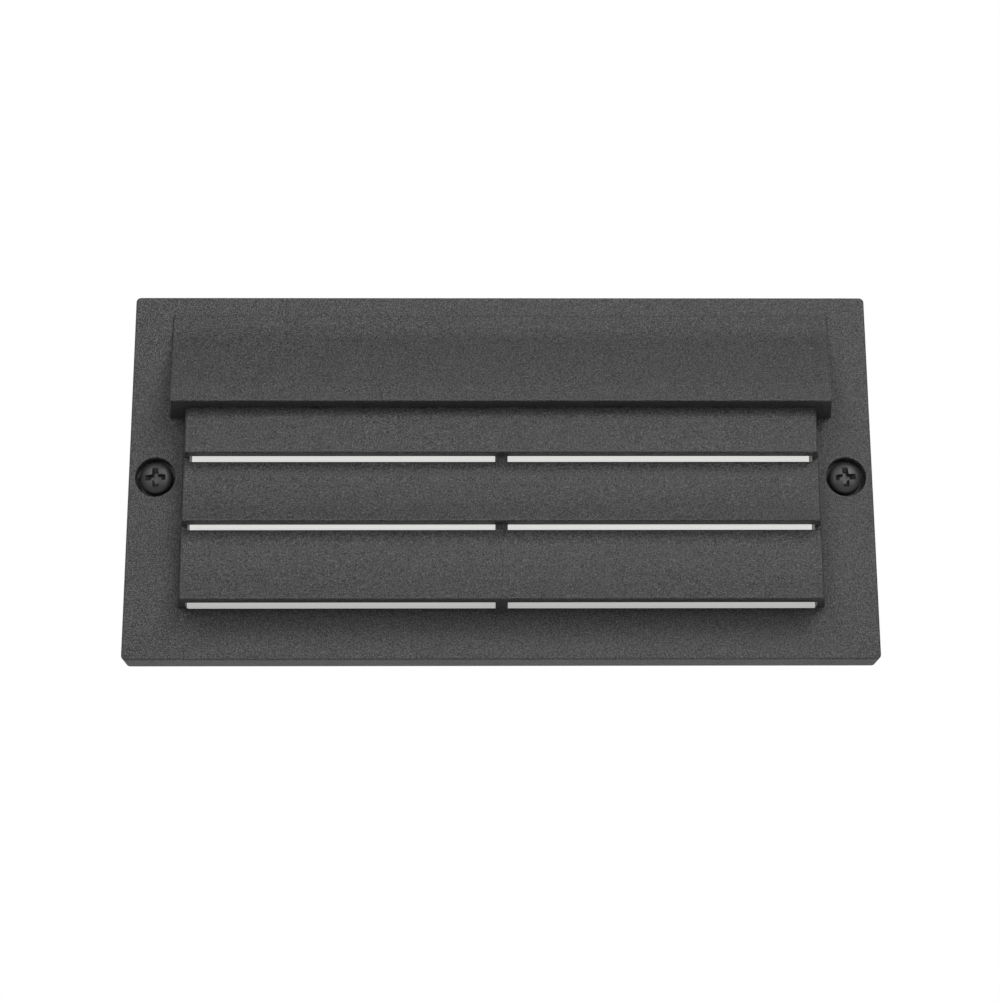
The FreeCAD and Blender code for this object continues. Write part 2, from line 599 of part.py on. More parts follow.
def faceplate():
    """Return the casting: a shallow tray with a gasket shelf, louvres and bosses."""
    growth = PLATE_DEPTH * tangent(RIM_DRAFT)
    shell = tapered_slab(HALF_WIDTH, HALF_HEIGHT, PLATE_CORNER, FRONT, 0.0, growth)
    front_edges = [edge for edge in shell.Edges
                   if all(abs(v.Point.y - FRONT) < 1e-6 for v in edge.Vertexes)]
    shell = shell.makeFillet(PLATE_EDGE, front_edges)
    shelf_x, shelf_z = RIM_HALF_X - GASKET_WIDTH, RIM_HALF_Z - GASKET_WIDTH
    tray = shell.cut([
        slab(shelf_x, shelf_z, PLATE_CORNER, INNER_FACE, REACH),
        slab(RIM_HALF_X, RIM_HALF_Z, PLATE_CORNER, SHELF_REAR, REACH)])
    window = slab(WINDOW_HALF_WIDTH, LENS_HALF_Z - LENS_OVERLAP, WINDOW_CORNER,
                  FRONT - REACH, 0.0, LENS_MID_Z)
    tray = tray.cut(window)
    rim = slab(HALF_WIDTH, HALF_HEIGHT, PLATE_CORNER, INNER_FACE, REACH)
    bosses = [cylinder(side * SCREW_X, SCREW_Z, COUNTERBORE_RADIUS + COUNTERBORE_WALL,
                       INNER_FACE - 1, SCREW_BOSS_REAR).common(rim) for side in (-1, 1)]
    bosses += [cylinder(x, z, CLIP_BOSS_RADIUS, INNER_FACE - 1, LENS_REAR)
               for x, z, _ in clip_places()]
    body = join([tray, louvres()] + bosses)
    holes = []
    for side in (-1, 1):
        x = side * SCREW_X
        holes.append(cylinder(x, SCREW_Z, COUNTERBORE_RADIUS, FRONT - REACH, COUNTERBORE_BOTTOM))
        holes.append(cylinder(x, SCREW_Z, SCREW_HOLE_RADIUS, FRONT, 0.0))
    for x, z, _ in clip_places():
        holes.append(cylinder(x, z, CLIP_SCREW_RADIUS + RUNNING_GAP,
                              CLIP_REAR - CLIP_SCREW_LENGTH - LOOSE_GAP, LENS_REAR + REACH))
    return body.cut(holes)


def lens():
    """Return the opal lens, a flat rounded sheet."""
    return slab(LENS_HALF_X, LENS_HALF_Z, LENS_CORNER, LENS_FRONT, LENS_REAR, LENS_MID_Z)


def lens_gasket():
    """Return the flat seal between the casting and the lens."""
    inner_x = WINDOW_HALF_WIDTH + LOOSE_GAP
    inner_z = LENS_HALF_Z - LENS_OVERLAP + LOOSE_GAP
    frame = slab(LENS_HALF_X, LENS_HALF_Z, LENS_CORNER, INNER_FACE, LENS_FRONT, LENS_MID_Z)
    return frame.cut(slab(inner_x, inner_z, WINDOW_CORNER, INNER_FACE - REACH, REACH,
                          LENS_MID_Z))


def lens_clips():
    """Return the four flat spring clips that hold the lens against its gasket."""
    clips = []
    for x, z, way in clip_places():
        near = z - way * CLIP_TAIL
        far = z + way * (CLIP_BOSS_RADIUS + LOOSE_GAP + CLIP_BITE)
        blank = slab(CLIP_WIDTH / 2, abs(far - near) / 2, CLIP_CORNER, LENS_REAR, CLIP_REAR,
                     (near + far) / 2)
        blank.translate(Vector(x, 0, 0))
        hole = cylinder(x, z, CLIP_SCREW_RADIUS + RUNNING_GAP, LENS_REAR - REACH,
                        CLIP_REAR + REACH)
        clips.append(blank.cut(hole))
    return group(clips)


def lens_clip_screws():
    """Return the four small screws of the lens clips."""
    sizes = (CLIP_HEAD_RADIUS, CLIP_HEAD_HEIGHT, CLIP_SCREW_RADIUS, CLIP_SCREW_LENGTH)
    return group([small_screw(x, CLIP_REAR, z, sizes, 1) for x, z, _ in clip_places()])


def faceplate_gasket():
    """Return the foam frame that lies on the faceplate's shelf and meets the box flange."""
    outer_x, outer_z = RIM_HALF_X - GASKET_EASE, RIM_HALF_Z - GASKET_EASE
    outline = slab(outer_x, outer_z, PLATE_CORNER, SHELF_REAR, GASKET_REAR)
    frame = outline.cut(slab(RIM_HALF_X - GASKET_WIDTH, RIM_HALF_Z - GASKET_WIDTH,
                             PLATE_CORNER, SHELF_REAR - REACH, REACH))
    hole = RETAINER_RADIUS + LOOSE_GAP
    ears = [cylinder(side * SCREW_X, SCREW_Z, hole + GASKET_EAR, SHELF_REAR,
                     GASKET_REAR).common(outline) for side in (-1, 1)]
    return drilled(join([frame] + ears), [(side * SCREW_X, SCREW_Z) for side in (-1, 1)],
                   hole, SHELF_REAR - REACH, REACH)


def faceplate_screw(side):
    """Return one captive faceplate screw; side is -1 on the left and 1 on the right."""
    profile = pan_profile(HEAD_RADIUS, HEAD_HEIGHT, SCREW_RADIUS, SCREW_LENGTH,
                          SCREW_TIP_CHAMFER, (0, 25, 50, 72))
    screw = spun(profile, Vector(0, 0, 0), Vector(0, 0, 1))
    recess = cross_recess(RECESS_SPAN, RECESS_WING, RECESS_DEPTH, RECESS_TURN)
    recess.translate(Vector(0, 0, HEAD_HEIGHT))
    screw = screw.cut(recess)
    turned = FreeCAD.Rotation(Vector(0, 0, 1), Vector(0, -1, 0))
    screw.Placement = FreeCAD.Placement(Vector(side * SCREW_X, HEAD_SEAT, SCREW_Z), turned)
    return screw


def screw_washer(side):
    """Return the seal washer that sits under one screw head and travels with it."""
    return ring(side * SCREW_X, SCREW_Z, WASHER_RADIUS, SCREW_RADIUS + RUNNING_GAP,
                HEAD_SEAT, COUNTERBORE_BOTTOM)


def screw_retainers():
    """Return the two rings behind the plate that keep the screws captive."""
    return group([ring(side * SCREW_X, SCREW_Z, RETAINER_RADIUS, SCREW_RADIUS + RUNNING_GAP,
                       SCREW_BOSS_REAR, SCREW_BOSS_REAR + RETAINER_THICKNESS)
                  for side in (-1, 1)])


# ---- recessed box --------------------------------------------------------------------------

def side_entry(side, x0, x1, radius):
    """Return a cylinder along X at one end's conduit entry, between distances x0 and x1."""
    return Part.makeCylinder(radius, x1 - x0, Vector(side * x0, SIDE_ENTRY_Y, 0),
                             Vector(side, 0, 0))


def housing():
    """Return the die-cast box with its flange, screw bosses, pillars, ribs and entries."""
    flange_x = RIM_HALF_X - FLANGE_GAP
    flange_z = RIM_HALF_Z - FLANGE_GAP
    flange = slab(flange_x, flange_z, FLANGE_CORNER, FLANGE_FRONT, 0.0)
    shrink = -BOX_DEPTH * tangent(BOX_DRAFT)
    outer = tapered_slab(BOX_HALF_X, BOX_HALF_Z, BOX_CORNER, 0.0, BOX_DEPTH, shrink)
    solids = [flange, outer]
    for side in (-1, 1):
        solids.append(cylinder(side * SCREW_X, SCREW_Z, FLANGE_BOSS_RADIUS, FLANGE_FRONT,
                               FLANGE_BOSS_LENGTH))
        solids.append(side_entry(side, BOX_HALF_X - BOX_WALL, BOX_HALF_X + ENTRY_BOSS_HEIGHT,
                                 ENTRY_BOSS_RADIUS))
        for index in range(RIB_COUNT):
            x = (index - (RIB_COUNT - 1) / 2) * RIB_SPACING
            z0, z1 = sorted((side * (BOX_HALF_Z - BOX_WALL), side * (BOX_HALF_Z + RIB_HEIGHT)))
            web = block(x - RIB_THICKNESS / 2, x + RIB_THICKNESS / 2, 0, BOX_DEPTH, z0, z1)
            lean = tapered_slab(BOX_HALF_X, BOX_HALF_Z + RIB_HEIGHT, BOX_CORNER, 0.0,
                                BOX_DEPTH, 2 * shrink)
            solids.append(web.common(lean))
    solids.append(cylinder(SUPPLY_X, 0, ENTRY_BOSS_RADIUS, BOX_FLOOR,
                           BOX_DEPTH + ENTRY_BOSS_HEIGHT))
    body = join(solids)
    mouth = FLANGE_FRONT - REACH
    widening = -mouth * tangent(BOX_DRAFT)
    cavity = tapered_slab(MOUTH_HALF_X + widening, MOUTH_HALF_Z + widening,
                          BOX_CORNER - BOX_WALL, mouth, BOX_FLOOR,
                          (mouth - BOX_FLOOR) * tangent(BOX_DRAFT))
    body = body.cut(cavity)
    pillars = [cylinder(sx * PILLAR_X, sz * PILLAR_Z, PILLAR_RADIUS, BRACKET_REAR, BOX_DEPTH - 1)
               for sx in (-1, 1) for sz in (-1, 1)]
    inside = tapered_slab(BOX_HALF_X - 1, BOX_HALF_Z - 1, BOX_CORNER, 0.0, BOX_DEPTH, shrink)
    ground = cylinder(GROUND_X, GROUND_Z, GROUND_BOSS_RADIUS, GROUND_SEAT, BOX_DEPTH - 1)
    body = join([body, ground] + [pillar.common(inside) for pillar in pillars])
    holes = [cylinder(SUPPLY_X, 0, ENTRY_RADIUS, BOX_FLOOR - REACH,
                      BOX_DEPTH + ENTRY_BOSS_HEIGHT + REACH),
             cylinder(GROUND_X, GROUND_Z, GROUND_SCREW_RADIUS + RUNNING_GAP,
                      GROUND_SEAT - REACH, BOX_FLOOR)]
    for side in (-1, 1):
        holes.append(cylinder(side * SCREW_X, SCREW_Z, SCREW_RADIUS + RUNNING_GAP,
                              FLANGE_FRONT - REACH, FLANGE_BOSS_LENGTH + REACH))
        holes.append(side_entry(side, MOUTH_HALF_X - REACH,
                                BOX_HALF_X + ENTRY_BOSS_HEIGHT + REACH, ENTRY_RADIUS))
        for rise in (-1, 1):
            holes.append(cylinder(side * WALL_SCREW_X, rise * WALL_SCREW_Z, WALL_SCREW_RADIUS,
                                  FLANGE_FRONT - REACH, REACH))
            holes.append(cylinder(side * PILLAR_X, rise * PILLAR_Z,
                                  BRACKET_SCREW_RADIUS + RUNNING_GAP, BRACKET_REAR - REACH,
                                  BRACKET_FRONT + BRACKET_SCREW_LENGTH + LOOSE_GAP))
    return body.cut(holes)


def entry_plugs():
    """Return the two slotted plugs that close the end entries."""
    plugs = []
    outer = BOX_HALF_X + ENTRY_BOSS_HEIGHT
    seat = outer + PLUG_SEAL_THICKNESS
    length, width, depth = PLUG_SLOT
    for side in (-1, 1):
        thread = side_entry(side, outer - PLUG_THREAD, seat, ENTRY_RADIUS - RUNNING_GAP)
        head = side_entry(side, seat, seat + PLUG_HEAD_HEIGHT, PLUG_HEAD_RADIUS)
        x0, x1 = sorted((side * (seat + PLUG_HEAD_HEIGHT - depth),
                         side * (seat + PLUG_HEAD_HEIGHT + 1)))
        slot = block(x0, x1, SIDE_ENTRY_Y - length / 2, SIDE_ENTRY_Y + length / 2,
                     -width / 2, width / 2)
        plugs.append(join([thread, head]).cut(slot))
    return group(plugs)


def plug_seals():
    """Return the flat rubber washers under the plug heads."""
    outer = BOX_HALF_X + ENTRY_BOSS_HEIGHT
    return group([side_entry(side, outer, outer + PLUG_SEAL_THICKNESS, PLUG_HEAD_RADIUS - 0.3)
                  .cut(side_entry(side, outer - 1, outer + REACH, ENTRY_RADIUS))
                  for side in (-1, 1)])


# ---- light engine --------------------------------------------------------------------------

def board_screw_places():
    """Return the places of the four screws through the reflector, board and bracket."""
    return [(sx * BOARD_SCREW_X, sz * BOARD_SCREW_Z) for sx in (-1, 1) for sz in (-1, 1)]


def drilled(shape, places, radius, y0, y1):
    """Return shape with a hole along Y at each (x, z) place."""
    return shape.cut([cylinder(x, z, radius, y0, y1) for x, z in places])


def bracket():
    """Return the formed plate that carries the light board in front and the driver behind."""
    half_x = MOUTH_HALF_X - BRACKET_FRONT * tangent(BOX_DRAFT) - BRACKET_GAP
    half_z = MOUTH_HALF_Z - BRACKET_FRONT * tangent(BOX_DRAFT) - BRACKET_GAP
    sheet = slab(half_x, half_z, BRACKET_CORNER, BRACKET_FRONT, BRACKET_REAR)
    lip_x = PILLAR_X - PILLAR_RADIUS - BRACKET_LIP_INSET
    lips = [block(-lip_x, lip_x, BRACKET_FRONT, BRACKET_REAR + BRACKET_LIP,
                  *sorted((side * half_z, side * (half_z - BRACKET_THICKNESS))))
            for side in (-1, 1)]
    body = join([sheet] + lips)
    y0, y1 = BRACKET_FRONT - REACH, BRACKET_REAR + REACH
    corners = [(sx * PILLAR_X, sz * PILLAR_Z) for sx in (-1, 1) for sz in (-1, 1)]
    body = drilled(body, corners, BRACKET_SCREW_RADIUS + FREE_GAP, y0, y1)
    body = drilled(body, board_screw_places(), BOARD_SCREW_RADIUS + RUNNING_GAP, y0, y1)
    body = drilled(body, driver_screw_places(), DRIVER_SCREW_RADIUS + RUNNING_GAP, y0, y1)
    return drilled(body, [(LEAD_HOLE_X, 0)], GROMMET_RADIUS + RUNNING_GAP, y0, y1)


def bracket_screws():
    """Return the four screws that hold the bracket on the box pillars."""
    sizes = (BRACKET_HEAD_RADIUS, BRACKET_HEAD_HEIGHT, BRACKET_SCREW_RADIUS,
             BRACKET_SCREW_LENGTH)
    return group([small_screw(sx * PILLAR_X, BRACKET_FRONT, sz * PILLAR_Z, sizes, -1)
                  for sx in (-1, 1) for sz in (-1, 1)])


def thermal_pad():
    """Return the soft pad between the light board and the bracket."""
    pad = slab(BOARD_HALF_X, BOARD_HALF_Z, BOARD_CORNER, BOARD_REAR, BRACKET_FRONT)
    pad = drilled(pad, board_screw_places(), BOARD_SCREW_RADIUS + FREE_GAP / 2, 0, BRACKET_REAR)
    return drilled(pad, [(LEAD_HOLE_X, 0)], LEAD_HOLE_RADIUS, 0, BRACKET_REAR)


def light_board():
    """Return the metal-core circuit board that carries the emitters."""
    board = slab(BOARD_HALF_X, BOARD_HALF_Z, BOARD_CORNER, BOARD_FRONT, BOARD_REAR)
    board = drilled(board, board_screw_places(), BOARD_SCREW_RADIUS + FREE_GAP / 2, 0, BRACKET_REAR)
    return drilled(board, [(LEAD_HOLE_X, 0)], LEAD_HOLE_RADIUS, 0, BRACKET_REAR)


def emitters():
    """Return two rows of small light-emitting packages."""
    packages = []
    for index in range(EMITTERS_PER_ROW):
        x = (index - (EMITTERS_PER_ROW - 1) / 2) * EMITTER_PITCH
        for side in (-1, 1):
            base, top = [Part.makePolygon(
                [Vector(x + sx * half, y, side * EMITTER_ROW_Z + sz * half) for sx, sz in
                 ((-1, -1), (1, -1), (1, 1), (-1, 1), (-1, -1))])
                for half, y in ((EMITTER_HALF, BOARD_FRONT),
                                (0.8 * EMITTER_HALF, BOARD_FRONT - EMITTER_HEIGHT))]
            packages.append(Part.makeLoft([base, top], True, True))
    return group(packages)


def reflector():
    """Return the white tray whose sloped sides run from the board to the box mouth."""
    top_x = MOUTH_HALF_X - REFLECTOR_GAP
    top_z = MOUTH_HALF_Z - REFLECTOR_GAP
    wall, corner, inside = REFLECTOR_WALL, REFLECTOR_CORNER, REFLECTOR_CORNER - 1.0
    outer = Part.makeLoft([rectangle_wire(REFLECTOR_FLOOR_X, REFLECTOR_FLOOR_Z, corner, BOARD_FRONT),
                           rectangle_wire(top_x, top_z, corner, REFLECTOR_FRONT)], True, True)
    inner = Part.makeLoft([
        rectangle_wire(REFLECTOR_FLOOR_X - wall, REFLECTOR_FLOOR_Z - wall, inside, REFLECTOR_FLOOR),
        rectangle_wire(top_x - wall, top_z - wall, inside, REFLECTOR_FRONT)], True, True)
    above = slab(top_x - wall, top_z - wall, inside, REFLECTOR_FRONT - REACH, REFLECTOR_FRONT)
    body = outer.cut([inner, above,
                      slab(REFLECTOR_WINDOW_X, REFLECTOR_WINDOW_Z, corner / 2, 0,
                           BRACKET_REAR)])
    return drilled(body, board_screw_places(), BOARD_SCREW_RADIUS + FREE_GAP / 2, 0, BRACKET_REAR)


def board_screws():
    """Return the screws that clamp the reflector and the board to the bracket."""
    length = BRACKET_REAR - REFLECTOR_FLOOR + BOARD_SCREW_TIP
    sizes = (BOARD_HEAD_RADIUS, BOARD_HEAD_HEIGHT, BOARD_SCREW_RADIUS, length)
    return group([small_screw(x, REFLECTOR_FLOOR, z, sizes, -1)
                  for x, z in board_screw_places()])


def board_connector():
    """Return the push-in connector where the output leads end on the board."""
    length, height, width = CONNECTOR_SIZE
    body = block(CONNECTOR_RIGHT - length, CONNECTOR_RIGHT, BOARD_FRONT - height, BOARD_FRONT,
                 -width / 2, width / 2)
    sockets = [Part.makeCylinder(LEAD_RADIUS + 0.1, CONNECTOR_SOCKET + REACH,
                                 Vector(CONNECTOR_RIGHT - CONNECTOR_SOCKET,
                                        BOARD_FRONT - height / 2, z),
                                 Vector(1, 0, 0))
               for z in (-OUTPUT_LEAD_Z, OUTPUT_LEAD_Z)]
    return body.cut(sockets)


# ---- driver and wiring ---------------------------------------------------------------------

def driver_screw_places():
    """Return the places of the two driver screws."""
    reach = DRIVER_TAB_LENGTH / 2
    return [(DRIVER_X[0] - reach, 0), (DRIVER_X[1] + reach, 0)]


def driver():
    """Return the potted driver: a rounded case with a screw tab at each end."""
    left, right = DRIVER_X
    middle = (left + right) / 2
    case = slab((right - left) / 2, DRIVER_HALF_Z, DRIVER_CORNER, BRACKET_REAR, DRIVER_REAR)
    case.translate(Vector(middle, 0, 0))
    rim = [edge for edge in case.Edges
           if all(abs(v.Point.y - DRIVER_REAR) < 1e-6 for v in edge.Vertexes)]
    case = case.makeChamfer(1.0, rim)
    tab = slab((right - left) / 2 + DRIVER_TAB_LENGTH, DRIVER_TAB_HALF_Z, DRIVER_CORNER,
               BRACKET_REAR, BRACKET_REAR + DRIVER_TAB_THICKNESS)
    tab.translate(Vector(middle, 0, 0))
    return drilled(join([case, tab]), driver_screw_places(), DRIVER_SCREW_RADIUS + FREE_GAP,
                   BRACKET_FRONT, DRIVER_REAR)


def driver_screws():
    """Return the two screws that hold the driver's tabs to the bracket."""
    seat = BRACKET_REAR + DRIVER_TAB_THICKNESS
    sizes = (DRIVER_HEAD_RADIUS, DRIVER_HEAD_HEIGHT, DRIVER_SCREW_RADIUS,
             seat - BRACKET_FRONT - RUNNING_GAP)
    return group([small_screw(x, seat, z, sizes, 1) for x, z in driver_screw_places()])


def lead_grommet():
    """Return the rubber bush that guards the output leads where they cross the bracket."""
    body = join([cylinder(LEAD_HOLE_X, 0, GROMMET_RADIUS, BRACKET_FRONT, BRACKET_REAR + 0.5),
                 cylinder(LEAD_HOLE_X, 0, GROMMET_FLANGE_RADIUS, BRACKET_REAR,
                          BRACKET_REAR + GROMMET_FLANGE)])
    return drilled(body, [(LEAD_HOLE_X, 0)], GROMMET_BORE, 0, DRIVER_REAR)


def output_lead(side):
    """Return one lead from the driver through the grommet to the board connector."""
    z = side * OUTPUT_LEAD_Z
    height = BOARD_FRONT - CONNECTOR_SIZE[1] / 2
    socket = CONNECTOR_RIGHT - CONNECTOR_SOCKET
    return lead([(DRIVER_X[1], DRIVER_Y, z), (LEAD_HOLE_X, DRIVER_Y, z),
                 (LEAD_HOLE_X, height, z), (socket, height, z)], LEAD_BEND)


def nut_places():
    """Return the mouth of each twist-on connector: y and z for line, neutral and ground."""
    ground_y = GROUND_SEAT - RING_THICKNESS - RING_BARREL_RADIUS
    shift_y, shift_z = GROUND_NUT_SHIFT
    return [(INPUT_NUT_Y, LINE_NUT_Z), (INPUT_NUT_Y, NEUTRAL_NUT_Z),
            (ground_y + shift_y, GROUND_Z + shift_z)]


def input_lead(index):
    """Return the line or neutral lead from the driver to its twist-on connector."""
    y, z = nut_places()[index]
    side = (1, -1)[index]
    first, last = INPUT_LEAD_RUNS
    return lead([(DRIVER_X[0], DRIVER_Y, side * INPUT_LEAD_Z),
                 (DRIVER_X[0] - first, DRIVER_Y, side * INPUT_LEAD_Z),
                 (WIRE_NUT_X + last, y, z), (WIRE_NUT_X - WIRE_NUT_SOCKET, y, z)],
                INPUT_LEAD_BEND)


def wire_nuts():
    """Return the three twist-on connectors, each with two finger wings."""
    nuts = []
    for y, z in nut_places():
        shell = spun([(0, 0), (WIRE_NUT_MOUTH_RADIUS, 0), (WIRE_NUT_MOUTH_RADIUS, WIRE_NUT_RIM),
                      (WIRE_NUT_TIP_RADIUS, WIRE_NUT_LENGTH - 1.0),
                      (WIRE_NUT_TIP_RADIUS - 1.0, WIRE_NUT_LENGTH), (0, WIRE_NUT_LENGTH)],
                     Vector(WIRE_NUT_X, y, z), Vector(-1, 0, 0))
        wing, thickness = WIRE_NUT_WING
        half = WIRE_NUT_MOUTH_RADIUS + wing
        wings = block(WIRE_NUT_X - WIRE_NUT_WING_LENGTH, WIRE_NUT_X, y - thickness / 2,
                      y + thickness / 2, z - half, z + half)
        bore = Part.makeCylinder(WIRE_NUT_BORE, WIRE_NUT_SOCKET + 1.5,
                                 Vector(WIRE_NUT_X + 1.0, y, z), Vector(-1, 0, 0))
        nuts.append(join([shell, wings]).cut(bore))
    return group(nuts)


def ground_screw():
    """Return the green screw that holds the ring terminal on the box."""
    seat = GROUND_SEAT - RING_THICKNESS
    sizes = (GROUND_HEAD_RADIUS, GROUND_HEAD_HEIGHT, GROUND_SCREW_RADIUS,
             GROUND_BOSS_HEIGHT + RING_THICKNESS - LOOSE_GAP)
    return small_screw(GROUND_X, seat, GROUND_Z, sizes, -1)


def ring_terminal():
    """Return the crimped ring terminal of the ground lead."""
    y0, y1 = GROUND_SEAT - RING_THICKNESS, GROUND_SEAT
    barrel_y = y1 - RING_BARREL_RADIUS
    tongue = block(GROUND_X - RING_OUTER - 1.5, GROUND_X - GROUND_SCREW_RADIUS - 0.8, y0, y1,
                   GROUND_Z - RING_BARREL_RADIUS, GROUND_Z + RING_BARREL_RADIUS)
    barrel = Part.makeCylinder(RING_BARREL_RADIUS, RING_BARREL_LENGTH,
                               Vector(GROUND_X - RING_OUTER - RING_TONGUE, barrel_y, GROUND_Z),
                               Vector(-1, 0, 0))
    body = join([cylinder(GROUND_X, GROUND_Z, RING_OUTER, y0, y1), tongue, barrel])
    bore = Part.makeCylinder(LEAD_RADIUS + RUNNING_GAP, RING_SOCKET,
                             Vector(BARREL_MOUTH, barrel_y, GROUND_Z),
                             Vector(1, 0, 0))
    hole = cylinder(GROUND_X, GROUND_Z, GROUND_SCREW_RADIUS + 0.1, y0 - 1, y1 + 1)
    return body.cut([bore, hole])


def ground_lead():
    """Return the green lead from the ring terminal to the third connector."""
    y, z = nut_places()[2]
    barrel_y = GROUND_SEAT - RING_BARREL_RADIUS
    start = BARREL_MOUTH + RING_SOCKET
    first, last = GROUND_LEAD_RUNS
    return lead([(start, barrel_y, GROUND_Z), (start - first, barrel_y, GROUND_Z),
                 (WIRE_NUT_X + last, y, z), (WIRE_NUT_X - WIRE_NUT_SOCKET, y, z)],
                GROUND_LEAD_BEND)


PARTS = {
    "faceplate": faceplate,
    "lens": lens,
    "lens_gasket": lens_gasket,
    "lens_clips": lens_clips,
    "lens_clip_screws": lens_clip_screws,
    "faceplate_gasket": faceplate_gasket,
    "screw_retainers": screw_retainers,
    "left_screw": lambda: faceplate_screw(-1),
    "left_screw_washer": lambda: screw_washer(-1),
    "right_screw": lambda: faceplate_screw(1),
    "right_screw_washer": lambda: screw_washer(1),
    "housing": housing,
    "entry_plugs": entry_plugs,
    "plug_seals": plug_seals,
    "bracket": bracket,
    "bracket_screws": bracket_screws,
    "thermal_pad": thermal_pad,
    "light_board": light_board,
    "emitters": emitters,
    "reflector": reflector,
    "board_screws": board_screws,
    "board_connector": board_connector,
    "driver": driver,
    "driver_screws": driver_screws,
    "lead_grommet": lead_grommet,
    "output_lead_positive": lambda: output_lead(1),
    "output_lead_negative": lambda: output_lead(-1),
    "line_lead": lambda: input_lead(0),
    "neutral_lead": lambda: input_lead(1),
    "ground_lead": ground_lead,
    "wire_nuts": wire_nuts,
    "ring_terminal": ring_terminal,
    "ground_screw": ground_screw,
}

os.makedirs("parts", exist_ok=True)
for name, make in PARTS.items():
    shape = make()
    print(f"{name}: {len(shape.Solids)} solid(s), {shape.Volume:.1f} mm3, "
          f"valid {shape.isValid()}")
    shape.exportStep(os.path.join("parts", name + ".step"))
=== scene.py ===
"""Dresses a recessed louvred step light and sets it in a plain pale studio.

Frame, in metres as packed: X to the right, Z up, Y into the wall, origin in the wall plane at the
middle of the faceplate. Lengths below are millimetres, turned to metres where meshes are made. A
protrusion is a distance in front of the plate's front face.
"""

import logging
import math
from dataclasses import dataclass
from enum import Enum
from typing import Callable, Iterable, Sequence, Union

import bmesh
import bpy
from mathutils import Matrix, Vector

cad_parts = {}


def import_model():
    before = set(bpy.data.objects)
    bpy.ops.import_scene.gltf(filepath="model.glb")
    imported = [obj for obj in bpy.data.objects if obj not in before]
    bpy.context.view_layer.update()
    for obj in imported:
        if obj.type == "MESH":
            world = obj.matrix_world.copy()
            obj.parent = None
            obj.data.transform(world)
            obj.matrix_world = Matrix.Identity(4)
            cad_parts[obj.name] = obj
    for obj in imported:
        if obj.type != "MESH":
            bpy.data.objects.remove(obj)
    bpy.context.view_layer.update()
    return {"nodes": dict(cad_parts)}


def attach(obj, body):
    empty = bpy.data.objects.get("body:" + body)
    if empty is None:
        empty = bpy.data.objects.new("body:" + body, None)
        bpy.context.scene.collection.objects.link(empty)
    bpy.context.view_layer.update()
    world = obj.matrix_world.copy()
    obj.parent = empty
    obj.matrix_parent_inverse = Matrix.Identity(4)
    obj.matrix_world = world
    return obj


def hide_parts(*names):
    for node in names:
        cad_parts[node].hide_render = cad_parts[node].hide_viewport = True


MM = 0.001
LOG = logging.getLogger("step_light")

QUARTERS = ((-1, -1), (1, -1), (1, 1), (-1, 1))

Corner = tuple[float, float, float]
Point = tuple[float, float]
SocketValue = Union[float, int, bool, Sequence[float], bpy.types.NodeSocket]


class Cut(Enum):
    """How one closed mesh is combined with another."""

    ADD = "UNION"
    REMOVE = "DIFFERENCE"
    KEEP = "INTERSECT"


class Side(Enum):
    """The two ends of the faceplate, as signs along X."""

    LEFT = -1
    RIGHT = 1


# ---- colour and node helpers ---------------------------------------------------------------


def linear(hex_colour: str, alpha: float = 1.0) -> tuple[float, float, float, float]:
    """Turn an sRGB hex colour into linear RGBA.

    Args:
        hex_colour: Six hex digits after a hash sign.
        alpha: The fourth value.

    Returns:
        Linear red, green and blue, with alpha.
    """
    channels = [int(hex_colour[i : i + 2], 16) / 255 for i in (1, 3, 5)]
    red, green, blue = (
        c / 12.92 if c <= 0.04045 else ((c + 0.055) / 1.055) ** 2.4 for c in channels
    )
    return red, green, blue, alpha


def add_node(
    tree: bpy.types.NodeTree, kind: str, inputs: dict[str, SocketValue] | None = None, **settings
) -> bpy.types.Node:
    """Add a node, set its properties and fill or link its inputs.

    Args:
        tree: The node tree that takes the node.
        kind: The node's type name.
        inputs: Socket name or index to a value, or to an output socket to link from.
        **settings: Properties of the node itself.

    Returns:
        The new node.
    """
    node = tree.nodes.new(kind)
    for name, value in settings.items():
        setattr(node, name, value)
    for name, value in (inputs or {}).items():
        socket = node.inputs[name]
        if isinstance(value, bpy.types.NodeSocket):
            tree.links.new(value, socket)
        else:
            socket.default_value = value
    return node


def blank_material(name: str) -> tuple[bpy.types.Material, bpy.types.NodeTree]:
    """Make an empty node material.

    Args:
        name: The material's name.

    Returns:
        The material and its node tree.
    """
    material = bpy.data.materials.new(name)
    material.use_nodes = True
    material.node_tree.nodes.clear()
    return material, material.node_tree


def per_metre(size_mm: float) -> float:
    """Return the texture scale at which one feature is about size_mm long."""
    return 1.0 / (size_mm * MM)


# ---- finishes ------------------------------------------------------------------------------


